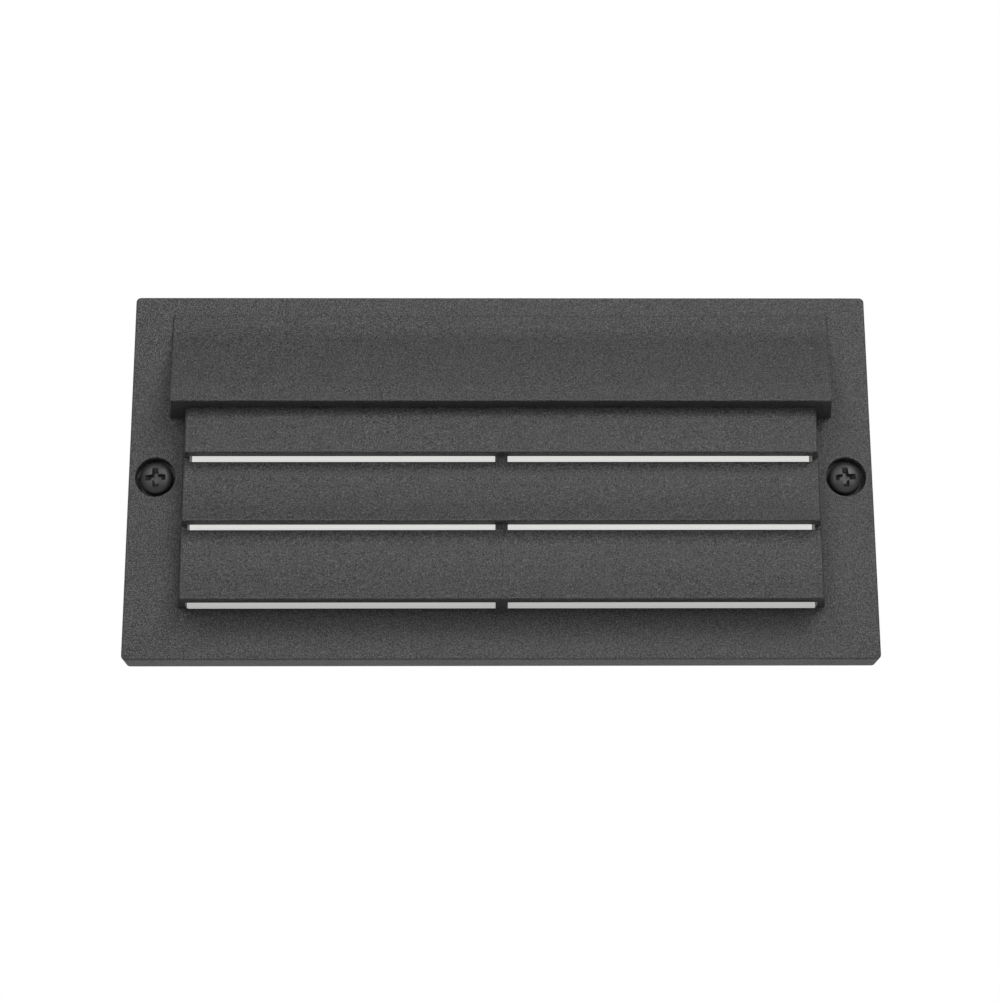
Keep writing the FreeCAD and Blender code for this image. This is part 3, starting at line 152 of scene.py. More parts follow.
@dataclass(frozen=True)
class PowderCoat:
    """Fine-texture black polyester powder coat, baked on a die casting.

    The powder melts into a tight sandy skin. It gives the eye a dark grey field with a pebbled
    grain, and a soft pale sheen where the surface turns away. The grain's tips are painted paler:
    painted glints, a painted highlight standing in for light caught by the grain. A real coat's
    grain is finer: it and its height are drawn as coarse as they need to be to show.
    """

    name: str
    colour: str = "#0c0c0d"
    # The pale colour below is painted highlight: painted glints on the grain's tips.
    painted_glint_colour: str = "#626263"
    roughness: float = 0.42
    grain_mm: float = 0.42
    grain_height_mm: float = 0.34
    painted_glint_share: float = 0.85
    painted_glint_range: Point = (0.40, 0.72)

    def material(self) -> bpy.types.Material:
        """Build the coat as a node material."""
        material, tree = blank_material(self.name)
        place = add_node(tree, "ShaderNodeTexCoord").outputs["Object"]
        sand = add_node(
            tree,
            "ShaderNodeTexNoise",
            {"Vector": place, "Scale": per_metre(self.grain_mm), "Detail": 2.0, "Roughness": 0.6},
        )
        peel = add_node(
            tree,
            "ShaderNodeTexNoise",
            {"Vector": place, "Scale": per_metre(4 * self.grain_mm), "Detail": 1.0},
        )
        cloud = add_node(
            tree, "ShaderNodeTexNoise", {"Vector": place, "Scale": per_metre(30.0), "Detail": 2.0}
        )
        # Painted glints: the grain's tips are mixed towards the pale glint colour, a painted
        # highlight standing in for light caught by the grain.
        tips = add_node(tree, "ShaderNodeValToRGB", {"Fac": sand.outputs["Fac"]})
        for stop, place_on_ramp in zip(tips.color_ramp.elements, self.painted_glint_range):
            stop.position = place_on_ramp
        painted_glint_amount = add_node(
            tree,
            "ShaderNodeMath",
            {0: tips.outputs["Color"], 1: self.painted_glint_share},
            operation="MULTIPLY",
        )
        colour = add_node(
            tree,
            "ShaderNodeMix",
            {
                "Factor": painted_glint_amount.outputs["Value"],
                6: linear(self.colour),
                7: linear(self.painted_glint_colour),
            },
            data_type="RGBA",
        )
        gloss = add_node(
            tree,
            "ShaderNodeMapRange",
            {
                "Value": cloud.outputs["Fac"],
                "To Min": self.roughness - 0.05,
                "To Max": self.roughness + 0.05,
            },
        )
        height = add_node(
            tree,
            "ShaderNodeMath",
            {0: peel.outputs["Fac"], 1: 0.6, 2: sand.outputs["Fac"]},
            operation="MULTIPLY_ADD",
        )
        bump = add_node(
            tree,
            "ShaderNodeBump",
            {
                "Height": height.outputs["Value"],
                "Distance": self.grain_height_mm * MM,
                "Strength": 1.0,
            },
        )
        shader = add_node(
            tree,
            "ShaderNodeBsdfPrincipled",
            {
                "Base Color": colour.outputs[2],
                "Roughness": gloss.outputs["Result"],
                "IOR": 1.5,
                "Normal": bump.outputs["Normal"],
            },
        )
        add_node(tree, "ShaderNodeOutputMaterial", {"Surface": shader.outputs["BSDF"]})
        return material


@dataclass(frozen=True)
class OpalSheet:
    """Opal polycarbonate sheet, extruded, lit from behind by the emitters.

    It gives the eye a milky white with a painted glow in the slots: emission painted on the sheet
    that stands in for the emitters' light. The painted glow is dimmer towards the sheet's lower
    edge, below the last row of emitters, to match the dimmer lowest slot.
    """

    name: str
    colour: str = "#f4f4f2"
    # Strengths of the painted glow, in the middle and at the lower edge.
    glow: float = 0.72
    edge_glow: float = 0.47
    fade_from_mm: float = -16.0
    fade_to_mm: float = -40.0

    def material(self) -> bpy.types.Material:
        """Build the sheet as a node material."""
        material, tree = blank_material(self.name)
        place = add_node(tree, "ShaderNodeTexCoord").outputs["Object"]
        haze = add_node(
            tree, "ShaderNodeTexNoise", {"Vector": place, "Scale": per_metre(45.0), "Detail": 1.0}
        )
        milk = add_node(
            tree,
            "ShaderNodeMapRange",
            {"Value": haze.outputs["Fac"], "To Min": 0.32, "To Max": 0.44},
        )
        height = add_node(tree, "ShaderNodeSeparateXYZ", {"Vector": place}).outputs["Z"]
        fade = add_node(
            tree,
            "ShaderNodeMapRange",
            {
                "Value": height,
                "From Min": self.fade_to_mm * MM,
                "From Max": self.fade_from_mm * MM,
                "To Min": self.edge_glow,
                "To Max": self.glow,
            },
        )
        # Painted glow: emission on the sheet that stands in for the emitters' light, painted
        # dimmer towards the lower edge.
        shader = add_node(
            tree,
            "ShaderNodeBsdfPrincipled",
            {
                "Base Color": linear(self.colour),
                "Roughness": milk.outputs["Result"],
                "IOR": 1.58,
                "Emission Color": linear(self.colour),
                "Emission Strength": fade.outputs["Result"],
            },
        )
        add_node(tree, "ShaderNodeOutputMaterial", {"Surface": shader.outputs["BSDF"]})
        return material


@dataclass(frozen=True)
class Moulded:
    """Injection-moulded or extruded plastic, or moulded rubber, with a faint spark texture.

    It gives the eye one even colour with a soft highlight that the fine texture breaks up.
    """

    name: str
    colour: str
    roughness: float = 0.45
    ior: float = 1.5
    grain_mm: float = 0.8
    grain_height_mm: float = 0.02

    def material(self) -> bpy.types.Material:
        """Build the plastic as a node material."""
        material, tree = blank_material(self.name)
        place = add_node(tree, "ShaderNodeTexCoord").outputs["Object"]
        spark = add_node(
            tree,
            "ShaderNodeTexNoise",
            {"Vector": place, "Scale": per_metre(self.grain_mm), "Detail": 3.0},
        )
        cloud = add_node(
            tree, "ShaderNodeTexNoise", {"Vector": place, "Scale": per_metre(18.0), "Detail": 2.0}
        )
        shade = add_node(
            tree,
            "ShaderNodeMapRange",
            {"Value": cloud.outputs["Fac"], "To Min": 0.93, "To Max": 1.05},
        )
        tint = add_node(
            tree,
            "ShaderNodeHueSaturation",
            {"Color": linear(self.colour), "Value": shade.outputs["Result"]},
        )
        gloss = add_node(
            tree,
            "ShaderNodeMapRange",
            {
                "Value": cloud.outputs["Fac"],
                "To Min": self.roughness - 0.06,
                "To Max": self.roughness + 0.06,
            },
        )
        bump = add_node(
            tree,
            "ShaderNodeBump",
            {
                "Height": spark.outputs["Fac"],
                "Distance": self.grain_height_mm * MM,
                "Strength": 1.0,
            },
        )
        shader = add_node(
            tree,
            "ShaderNodeBsdfPrincipled",
            {
                "Base Color": tint.outputs["Color"],
                "Roughness": gloss.outputs["Result"],
                "IOR": self.ior,
                "Normal": bump.outputs["Normal"],
            },
        )
        add_node(tree, "ShaderNodeOutputMaterial", {"Surface": shader.outputs["BSDF"]})
        return material


@dataclass(frozen=True)
class BareMetal:
    """Bare or plated metal with a drawn, rolled or turned grain.

    It gives the eye a grey metal whose reflections are dragged out along the grain.
    """

    name: str
    colour: str
    roughness: float = 0.32
    grain_mm: float = 0.25
    grain_height_mm: float = 0.006
    stretch: tuple[float, float, float] = (0.08, 1.0, 1.0)

    def material(self) -> bpy.types.Material:
        """Build the metal as a node material."""
        material, tree = blank_material(self.name)
        place = add_node(tree, "ShaderNodeTexCoord").outputs["Object"]
        along = add_node(tree, "ShaderNodeMapping", {"Vector": place, "Scale": self.stretch})
        grain = add_node(
            tree,
            "ShaderNodeTexNoise",
            {
                "Vector": along.outputs["Vector"],
                "Scale": per_metre(self.grain_mm),
                "Detail": 3.0,
            },
        )
        stain = add_node(
            tree, "ShaderNodeTexNoise", {"Vector": place, "Scale": per_metre(9.0), "Detail": 3.0}
        )
        tone = add_node(
            tree,
            "ShaderNodeMix",
            {
                "Factor": stain.outputs["Fac"],
                6: linear(self.colour),
                7: tuple(0.8 * c for c in linear(self.colour)[:3]) + (1.0,),
            },
            data_type="RGBA",
        )
        gloss = add_node(
            tree,
            "ShaderNodeMapRange",
            {
                "Value": grain.outputs["Fac"],
                "To Min": self.roughness - 0.08,
                "To Max": self.roughness + 0.12,
            },
        )
        bump = add_node(
            tree,
            "ShaderNodeBump",
            {
                "Height": grain.outputs["Fac"],
                "Distance": self.grain_height_mm * MM,
                "Strength": 1.0,
            },
        )
        shader = add_node(
            tree,
            "ShaderNodeBsdfPrincipled",
            {
                "Base Color": tone.outputs[2],
                "Metallic": 1.0,
                "Roughness": gloss.outputs["Result"],
                "Normal": bump.outputs["Normal"],
            },
        )
        add_node(tree, "ShaderNodeOutputMaterial", {"Surface": shader.outputs["BSDF"]})
        return material


# ---- mesh helpers --------------------------------------------------------------------------


def rounded(corners: Iterable[Corner], arc_step: float = 4.0) -> list[Point]:
    """Round the corners of a closed outline with tangent arcs.

    Args:
        corners: Each corner as two coordinates and a radius, in millimetres.
        arc_step: Turn between neighbouring arc points, in degrees.

    Returns:
        The outline's points in order.
    """
    listed = list(corners)
    points: list[Point] = []
    for index, (a, b, radius) in enumerate(listed):
        here = Vector((a, b))
        back = (Vector(listed[index - 1][:2]) - here).normalized()
        on = (Vector(listed[(index + 1) % len(listed)][:2]) - here).normalized()
        opening = back.angle(on)
        turn = math.pi - opening
        if radius <= 0 or turn < 1e-3:
            points.append((a, b))
            continue
        centre = here + (back + on).normalized() * (radius / math.sin(opening / 2))
        start = here + back * (radius / math.tan(opening / 2)) - centre
        sense = 1.0 if back.x * on.y - back.y * on.x < 0 else -1.0
        steps = max(2, math.ceil(math.degrees(turn) / arc_step))
        for step in range(steps + 1):
            angle = sense * turn * step / steps
            spoke = Matrix.Rotation(angle, 2) @ start
            points.append((centre.x + spoke.x, centre.y + spoke.y))
    return points


def shrunk(outline: Sequence[Point], inset: float) -> list[Point]:
    """Move a closed outline inwards by an even distance.

    Args:
        outline: Points in order, either way round.
        inset: The distance in millimetres.

    Returns:
        As many points, each moved along its corner's bisector.
    """
    count = len(outline)
    area = sum(
        outline[i - 1][0] * outline[i][1] - outline[i][0] * outline[i - 1][1]
        for i in range(count)
    )
    sense = 1.0 if area > 0 else -1.0
    moved = []
    for i, point in enumerate(outline):
        here = Vector(point)
        incoming = (here - Vector(outline[i - 1])).normalized()
        outgoing = (Vector(outline[(i + 1) % count]) - here).normalized()
        first = Vector((-incoming.y, incoming.x)) * sense
        second = Vector((-outgoing.y, outgoing.x)) * sense
        middle = (first + second).normalized()
        moved.append(tuple(here + middle * (inset / max(middle.dot(first), 0.35))))
    return moved


def new_object(name: str, mesh: bpy.types.Mesh) -> bpy.types.Object:
    """Link a mesh into the scene as an object."""
    made = bpy.data.objects.new(name, mesh)
    bpy.context.scene.collection.objects.link(made)
    return made


def skin(name: str, rings: Sequence[Sequence[Vector]]) -> bpy.types.Object:
    """Make a closed mesh through rings of points, with a cap on each end.

    Args:
        name: The object's name.
        rings: Rings with the same number of points each, in metres.

    Returns:
        The object.
    """
    shape = bmesh.new()
    loops = [[shape.verts.new(point) for point in ring] for ring in rings]
    count = len(loops[0])
    for first, second in zip(loops, loops[1:]):
        for i in range(count):
            j = (i + 1) % count
            shape.faces.new((first[i], first[j], second[j], second[i]))
    shape.faces.new(loops[0])
    shape.faces.new(loops[-1])
    bmesh.ops.recalc_face_normals(shape, faces=shape.faces)
    mesh = bpy.data.meshes.new(name)
    shape.to_mesh(mesh)
    shape.free()
    return new_object(name, mesh)


def turned(
    name: str, x: float, z: float, profile: Sequence[Point], segments: int = 64
) -> bpy.types.Object:
    """Make a turned solid along Y.

    Args:
        name: The object's name.
        x: Place of its axis, in millimetres.
        z: Place of its axis, in millimetres.
        profile: Depth and radius pairs from front to rear.
        segments: Facets round the axis.

    Returns:
        The closed solid.
    """
    spokes = [2 * math.pi * i / segments for i in range(segments)]
    rings = [
        [Vector((x + r * math.cos(a), y, z + r * math.sin(a))) * MM for a in spokes]
        for y, r in profile
    ]
    return skin(name, rings)


def combine(
    body: bpy.types.Object, tools: Sequence[bpy.types.Object], how: Cut
) -> bpy.types.Object:
    """Add tools to a body, cut them away or keep what is common, and delete the tools.

    Args:
        body: The closed mesh that changes.
        tools: Closed meshes.
        how: The way of combining.

    Returns:
        The changed body.
    """
    for tool in tools:
        step = body.modifiers.new("combine", "BOOLEAN")
        step.operation = how.value
        step.solver = "EXACT"
        step.object = tool
    graph = bpy.context.evaluated_depsgraph_get()
    mesh = bpy.data.meshes.new_from_object(body.evaluated_get(graph))
    body.modifiers.clear()
    body.data = mesh
    for tool in tools:
        bpy.data.objects.remove(tool)
    return body


def soften(piece: bpy.types.Object, crease: float = 32.0) -> None:
    """Shade a mesh smoothly and keep its edges crisp.

    Args:
        piece: The mesh object.
        crease: Edges that turn by more than this many degrees stay sharp.
    """
    mesh = piece.data
    mesh.shade_smooth()
    mesh.set_sharp_from_angle(angle=math.radians(crease))
    weighting = piece.modifiers.new("weighting", "WEIGHTED_NORMAL")
    weighting.keep_sharp = True
    weighting.weight = 80


def coat(piece: bpy.types.Object, material: bpy.types.Material) -> None:
    """Give a piece one material in all its slots."""
    piece.data.materials.clear()
    piece.data.materials.append(material)


# ---- faceplate -----------------------------------------------------------------------------


@dataclass
class Faceplate:
    """The louvred casting: a shallow tray with a hood, three blades, cheeks and a centre rib.

    The roots, rise and lip depths of the blades differ from the CAD solid's, after the photograph.
    """

    width: float = 235.0
    height: float = 118.2
    depth: float = 11.0
    corner: float = 1.5
    edge: float = 0.6
    face_wall: float = 2.5
    rim_wall: float = 2.8
    rim_draft: float = 1.3
    shelf_width: float = 3.5
    shelf_rear: float = -4.8
    hood_top: float = 52.65
    hood_step: float = 0.7
    hood_half_width: float = 105.2
    hood_draft: float = 9.0
    hood_lip: Point = (17.5, 19.0)
    hood_shoulder: Point = (2.4, 46.0)
    hood_brow: Point = (14.6, 25.2)
    hood_ease: float = 22.0
    hood_wall: float = 3.0
    hood_floor: float = 3.0
    underside_draft: float = 1.5
    upper_lip: Point = (15.2, 3.1)
    middle_lip: Point = (14.6, -18.45)
    lower_lip: Point = (13.6, -42.6)
    lip_depths: tuple[float, float, float] = (4.6, 5.2, 5.8)
    upper_root: float = 11.1
    middle_root: float = 9.0
    lower_root: float = 8.0
    root_drop: float = 1.15
    blade_wall: float = 2.8
    blade_rise: float = 0.44
    lip_edge: float = 0.45
    end_edge: float = 0.35
    cheek_half_width: float = 100.6
    cheek_draft: float = 11.0
    cheek_inset: float = 0.3
    cheek_knee: float = 8.0
    rib_width: float = 3.8
    rib_foot: float = 2.6
    window_half_width: float = 98.0
    window_draft: float = 5.7
    window_top: float = 44.8
    window_bottom: float = -43.0
    screw_x: float = 109.1
    screw_z: float = -0.8
    counterbore_radius: float = 6.25
    counterbore_bottom: float = -7.0
    screw_hole_radius: float = 2.8
    boss_radius: float = 7.8
    clip_x: float = 60.0
    clip_reach: float = 49.6
    clip_boss_radius: float = 2.4
    clip_boss_rear: float = -5.2
    lap: float = 0.04

    def spot(self, x: float, protrusion: float, z: float) -> Vector:
        """Turn a place on the plate, in millimetres, into a point of the frame."""
        return Vector((x, -self.depth - protrusion, z)) * MM

    def beneath(self, lip: Point, protrusion: float) -> float:
        """Return the height of a lip's underside at a protrusion."""
        return lip[1] - (lip[0] - protrusion) * math.tan(math.radians(self.underside_draft))

    def knee(self, top: Point, lip: Point) -> Point:
        """Return where a blade's upright top turns into its flare."""
        return top[0], top[1] - self.blade_rise * (top[1] - lip[1])

    def knee_radius(self, top: Point, knee: Point, lip: Point) -> float:
        """Return the largest easy radius for a knee."""
        down = Vector(top) - Vector(knee)
        out = Vector(lip) - Vector(knee)
        return 0.9 * min(down.length, out.length) * math.tan(down.angle(out) / 2)

    def blade_section(self, top: Point, lip: Point, lip_depth: float) -> list[Point]:
        """Return the side view of a blade that curves from its top edge out to its lip.

        Args:
            top: Protrusion and height of the front top edge.
            lip: Protrusion and height of the lip's lower front edge.
            lip_depth: Depth of the lip's underside.

        Returns:
            The outline, with fine arcs.
        """
        knee = self.knee(top, lip)
        rear_top = (top[0] - self.blade_wall, top[1])
        rear_lip = (lip[0] - lip_depth, self.beneath(lip, lip[0] - lip_depth))
        rear_knee = self.knee(rear_top, rear_lip)
        edge = self.lip_edge
        return rounded(
            [
                (*top, edge),
                (*knee, self.knee_radius(top, knee, lip)),
                (*lip, edge),
                (*rear_lip, edge),
                (*rear_knee, self.knee_radius(rear_top, rear_knee, rear_lip)),
                (*rear_top, edge),
            ],
            3.0,
        )

    def upper_blade_section(self) -> list[Point]:
        """Return the side view of the straight blade under the hood."""
        root = (self.upper_root, self.hood_lip[1] + self.hood_floor / 2)
        lip = self.upper_lip
        rear_lip = (lip[0] - self.lip_depths[0], self.beneath(lip, lip[0] - self.lip_depths[0]))
        rear_root = (root[0] - self.blade_wall - 0.3, root[1])
        return rounded(
            [(*root, 0), (*lip, self.lip_edge), (*rear_lip, self.lip_edge), (*rear_root, 0)], 15.0
        )

    def hood_section(self) -> list[Point]:
        """Return the outside of the hood in side view, closed behind the plate's face."""
        root = -self.face_wall / 2
        foot = self.beneath(self.hood_lip, root)
        return rounded(
            [
                (root, self.hood_top, 0),
                (self.hood_step, self.hood_top, 0.4),
                (*self.hood_shoulder, self.hood_ease),
                (*self.hood_brow, self.hood_ease),
                (*self.hood_lip, self.lip_edge),
                (root, foot, 0),
            ],
            3.0,
        )

    def chamber_section(self) -> list[Point]:
        """Return the hollow behind the hood and the upper blade in side view."""
        shoulder, brow, lip = self.hood_shoulder, self.hood_brow, self.hood_lip
        root = -self.face_wall - 1.0
        slope = (brow[0] - shoulder[0]) / (shoulder[1] - brow[1])
        across = self.hood_wall * math.hypot(1.0, slope)
        floor = lip[1] + self.hood_floor
        roof = shoulder[0] + (shoulder[1] - self.window_top) * slope - across
        tip = shoulder[0] + (shoulder[1] - floor) * slope - across
        throat = self.upper_root - self.blade_wall
        below = self.beneath(lip, throat) - 1.0
        return rounded(
            [
                (root, self.window_top, 0),
                (roof, self.window_top, 0),
                (tip, floor, 1.0),
                (throat, floor, 0),
                (throat, below, 0),
                (root, below, 0),
            ],
            10.0,
        )

    def cheek_section(self, tops: Sequence[Point]) -> list[Point]:
        """Return the stepped side view of the end cheeks.

        Args:
            tops: Front top edges of the middle and the lower blade.

        Returns:
            The outline, a little behind the blades' faces.
        """
        inset, root = self.cheek_inset, -self.face_wall / 2 + 3 * self.lap
        start = self.hood_lip[1] + 1.0
        corners: list[Corner] = [(root, start, 0), (self.upper_root - inset, start, 0)]
        lips = (self.upper_lip, self.middle_lip, self.lower_lip)
        for index, lip in enumerate(lips):
            corners.append((lip[0] - inset, lip[1] + inset, 0))
            if index == len(tops):
                corners.append((root, self.beneath(lip, root) + inset, 0))
                break
            back = tops[index][0] - inset
            corners.append((back, self.beneath(lip, back) + inset, 0))
            knee = self.knee(tops[index], lips[index + 1])
            corners.append((knee[0] - inset, knee[1], self.cheek_knee))
        return rounded(corners, 6.0)

    def rib_section(self, tops: Sequence[Point]) -> list[Point]:
        """Return the side view of the centre rib behind the blades."""
        rear = -self.face_wall / 2 - 3 * self.lap
        corners: list[Corner] = [
            (rear, self.window_top + 1, 0),
            (self.hood_step, self.window_top + 1, 0),
            (
                self.upper_root - self.blade_wall / 2,
                self.hood_lip[1] + self.hood_floor / 2,
                0,
            ),
        ]
        lips = (self.upper_lip, self.middle_lip, self.lower_lip)
        for index, (lip, lip_depth) in enumerate(zip(lips, self.lip_depths)):
            corners.append((lip[0] - lip_depth + self.lip_edge, lip[1] + 0.7, 0))
            if index == len(tops):
                corners.append((rear, self.window_bottom - 1.0, 0))
                break
            top = tops[index]
            corners.append((top[0] - self.lip_edge, top[1] - self.rib_foot, 0.4))
            knee = self.knee(top, lips[index + 1])
            corners.append((knee[0] - self.blade_wall / 2, knee[1] - self.blade_wall, 0))
        return rounded(corners, 20.0)

    def bar(
        self, name: str, section: Sequence[Point], half_width: float, draft: float, edge: float
    ) -> bpy.types.Object:
        """Make a bar along X whose ends lean inwards and have rounded edges.

        Args:
            name: The object's name.
            section: Side view as protrusion and height.
            half_width: Half the length at the plate.
            draft: Lean of the ends, in degrees.
            edge: Radius round each end.

        Returns:
            The closed bar.
        """
        lean = math.tan(math.radians(draft))
        steps = 3 if edge > 0 else 0
        insets = [(0.0, edge)]
        for step in range(1, steps + 1):
            angle = math.radians(90.0 * step / steps)
            insets.append((edge * (1 - math.cos(angle)), edge * (1 - math.sin(angle))))
        rings = []
        for side in (-1, 1):
            half = [
                [
                    self.spot(side * (half_width - p * lean - back), q[0], q[1])
                    for p, q in zip([s[0] for s in section], shrunk(section, inset))
                ]
                for inset, back in insets
            ]
            rings += half[::-1] if side < 0 else half
        return skin(name, rings)

    def slice_of(
        self, name: str, section: Sequence[Point], left: float, right: float
    ) -> bpy.types.Object:
        """Make a straight bar between two places along X, in millimetres."""
        return skin(name, [[self.spot(x, p, z) for p, z in section] for x in (left, right)])

    def wedge(self, name: str, half_width: float, draft: float) -> bpy.types.Object:
        """Make a block whose half width shrinks as it protrudes, as tall as the plate."""
        lean = math.tan(math.radians(draft))
        reach = 3 * self.hood_lip[0]
        rings = [
            [
                self.spot(-half_width + p * lean, p, z),
                self.spot(half_width - p * lean, p, z),
                self.spot(half_width - p * lean, p, z + self.height),
                self.spot(-half_width + p * lean, p, z + self.height),
            ]
            for p, z in ((-self.depth, -self.height / 2), (reach, -self.height / 2))
        ]
        return skin(name, rings)

    def tray_ring(self, half_x: float, half_z: float, radius: float, y: float) -> list[Vector]:
        """Return a rounded rectangle at depth y, in metres."""
        corners = [(sx * half_x, sz * half_z, radius) for sx, sz in QUARTERS]
        return [Vector((x, y, z)) * MM for x, z in rounded(corners, 15.0)]

    def tray(self) -> bpy.types.Object:
        """Make the shallow tray with its rounded front edge, drafted rim and gasket shelf."""
        growth = math.tan(math.radians(self.rim_draft))
        half_x, half_z = self.width / 2, self.height / 2
        rings = []
        for step in range(5):
            angle = math.radians(90.0 * step / 4)
            inset = self.edge * (1 - math.sin(angle))
            y = -self.depth + self.edge * (1 - math.cos(angle))
            rings.append(self.tray_ring(half_x - inset, half_z - inset, self.corner, y))
        swell = self.depth * growth
        foot = 0.3
        rings.append(self.tray_ring(half_x + swell, half_z + swell, self.corner, -foot))
        rings.append(
            self.tray_ring(half_x + swell - foot, half_z + swell - foot, self.corner, 0.0)
        )
        body = skin("faceplate_casting", rings)
        inner_x, inner_z = half_x - self.rim_wall, half_z - self.rim_wall
        shelf = self.shelf_width
        inner_face = -self.depth + self.face_wall
        hollow = skin(
            "hollow",
            [
                self.tray_ring(inner_x - shelf, inner_z - shelf, self.corner, inner_face),
                self.tray_ring(inner_x - shelf, inner_z - shelf, self.corner, 5.0),
            ],
        )
        rebate = skin(
            "rebate",
            [
                self.tray_ring(inner_x, inner_z, self.corner, self.shelf_rear),
                self.tray_ring(inner_x, inner_z, self.corner, 5.0),
            ],
        )
        return combine(body, [hollow, rebate], Cut.REMOVE)

    def counterbore(self, side: Side) -> list[bpy.types.Object]:
        """Make the tools for one screw's counterbore, its rounded mouth and its hole."""
        x, radius, lip = side.value * self.screw_x, self.counterbore_radius, 0.35
        front = -self.depth
        mouth = [
            (front - 1.0, radius + lip + 1.0),
            (front, radius + lip),
            (front + 0.3 * lip, radius + 0.35 * lip),
            (front + lip, radius),
            (self.counterbore_bottom, radius),
        ]
        return [
            turned("counterbore", x, self.screw_z, mouth),
            turned(
                "screw_hole",
                x,
                self.screw_z,
                [
                    (self.counterbore_bottom - 1.0, self.screw_hole_radius),
                    (1.0, self.screw_hole_radius),
                ],
            ),
        ]

    def build(self) -> bpy.types.Object:
        """Make the whole casting as one mesh and put it in the place of its CAD node.

        Returns:
            The casting.
        """
        tops = [
            (self.middle_root, self.beneath(self.upper_lip, self.middle_root) - self.root_drop),
            (self.lower_root, self.beneath(self.middle_lip, self.lower_root) - self.root_drop),
        ]
        casting = self.tray()
        mid = (self.window_top + self.window_bottom) / 2
        half = (self.window_top - self.window_bottom) / 2
        window = skin(
            "window",
            [
                [
                    Vector((x, y, z + mid)) * MM
                    for x, z in rounded(
                        [
                            (sx * self.window_half_width, sz * half, 1.0)
                            for sx, sz in QUARTERS
                        ],
                        15.0,
                    )
                ]
                for y in (-self.depth - 1.0, 0.5)
            ],
        )
        casting = combine(casting, [window], Cut.REMOVE)
        solid = self.bar(
            "hood",
            self.hood_section(),
            self.hood_half_width,
            self.hood_draft,
            self.end_edge,
        )
        chamber = self.bar(
            "chamber",
            self.chamber_section(),
            self.window_half_width + self.lap,
            self.window_draft,
            0,
        )
        hood = combine(solid, [chamber], Cut.REMOVE)
        cheeks = self.bar(
            "cheeks",
            self.cheek_section(tops),
            self.cheek_half_width,
            self.cheek_draft,
            0,
        )
        opening = self.wedge("opening", self.window_half_width - self.lap, self.window_draft)
        cheeks = combine(cheeks, [opening], Cut.REMOVE)
        sections = [
            self.upper_blade_section(),
            self.blade_section(tops[0], self.middle_lip, self.lip_depths[1]),
            self.blade_section(tops[1], self.lower_lip, self.lip_depths[2]),
        ]
        blades = [
            self.bar(
                "blade",
                section,
                self.cheek_half_width + self.lap,
                self.cheek_draft,
                self.end_edge,
            )
            for section in sections
        ]
        rib = self.slice_of(
            "rib", self.rib_section(tops), -self.rib_width / 2, self.rib_width / 2
        )
        boss_front = -self.depth + self.face_wall - 1.0
        bosses = [
            turned(
                "screw_boss",
                side.value * self.screw_x,
                self.screw_z,
                [(boss_front, self.boss_radius), (self.shelf_rear, self.boss_radius)],
            )
            for side in Side
        ]
        bosses += [
            turned(
                "clip_boss",
                side * self.clip_x,
                mid + way * self.clip_reach,
                [
                    (boss_front, self.clip_boss_radius),
                    (self.clip_boss_rear, self.clip_boss_radius),
                ],
                24,
            )
            for side in (-1, 1)
            for way in (-1, 1)
        ]
        casting = combine(casting, [hood, cheeks, *blades, rib, *bosses], Cut.ADD)
        bores = [tool for side in Side for tool in self.counterbore(side)]
        casting = combine(casting, bores, Cut.REMOVE)
        casting.name = "faceplate_casting"
        # The coat's pale grain tips are painted glints, a painted highlight.
        coat(casting, PowderCoat("faceplate_powder_coat_on_die_casting").material())
        soften(casting)
        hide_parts("faceplate")
        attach(casting, "faceplate")
        return casting


# ---- screws --------------------------------------------------------------------------------


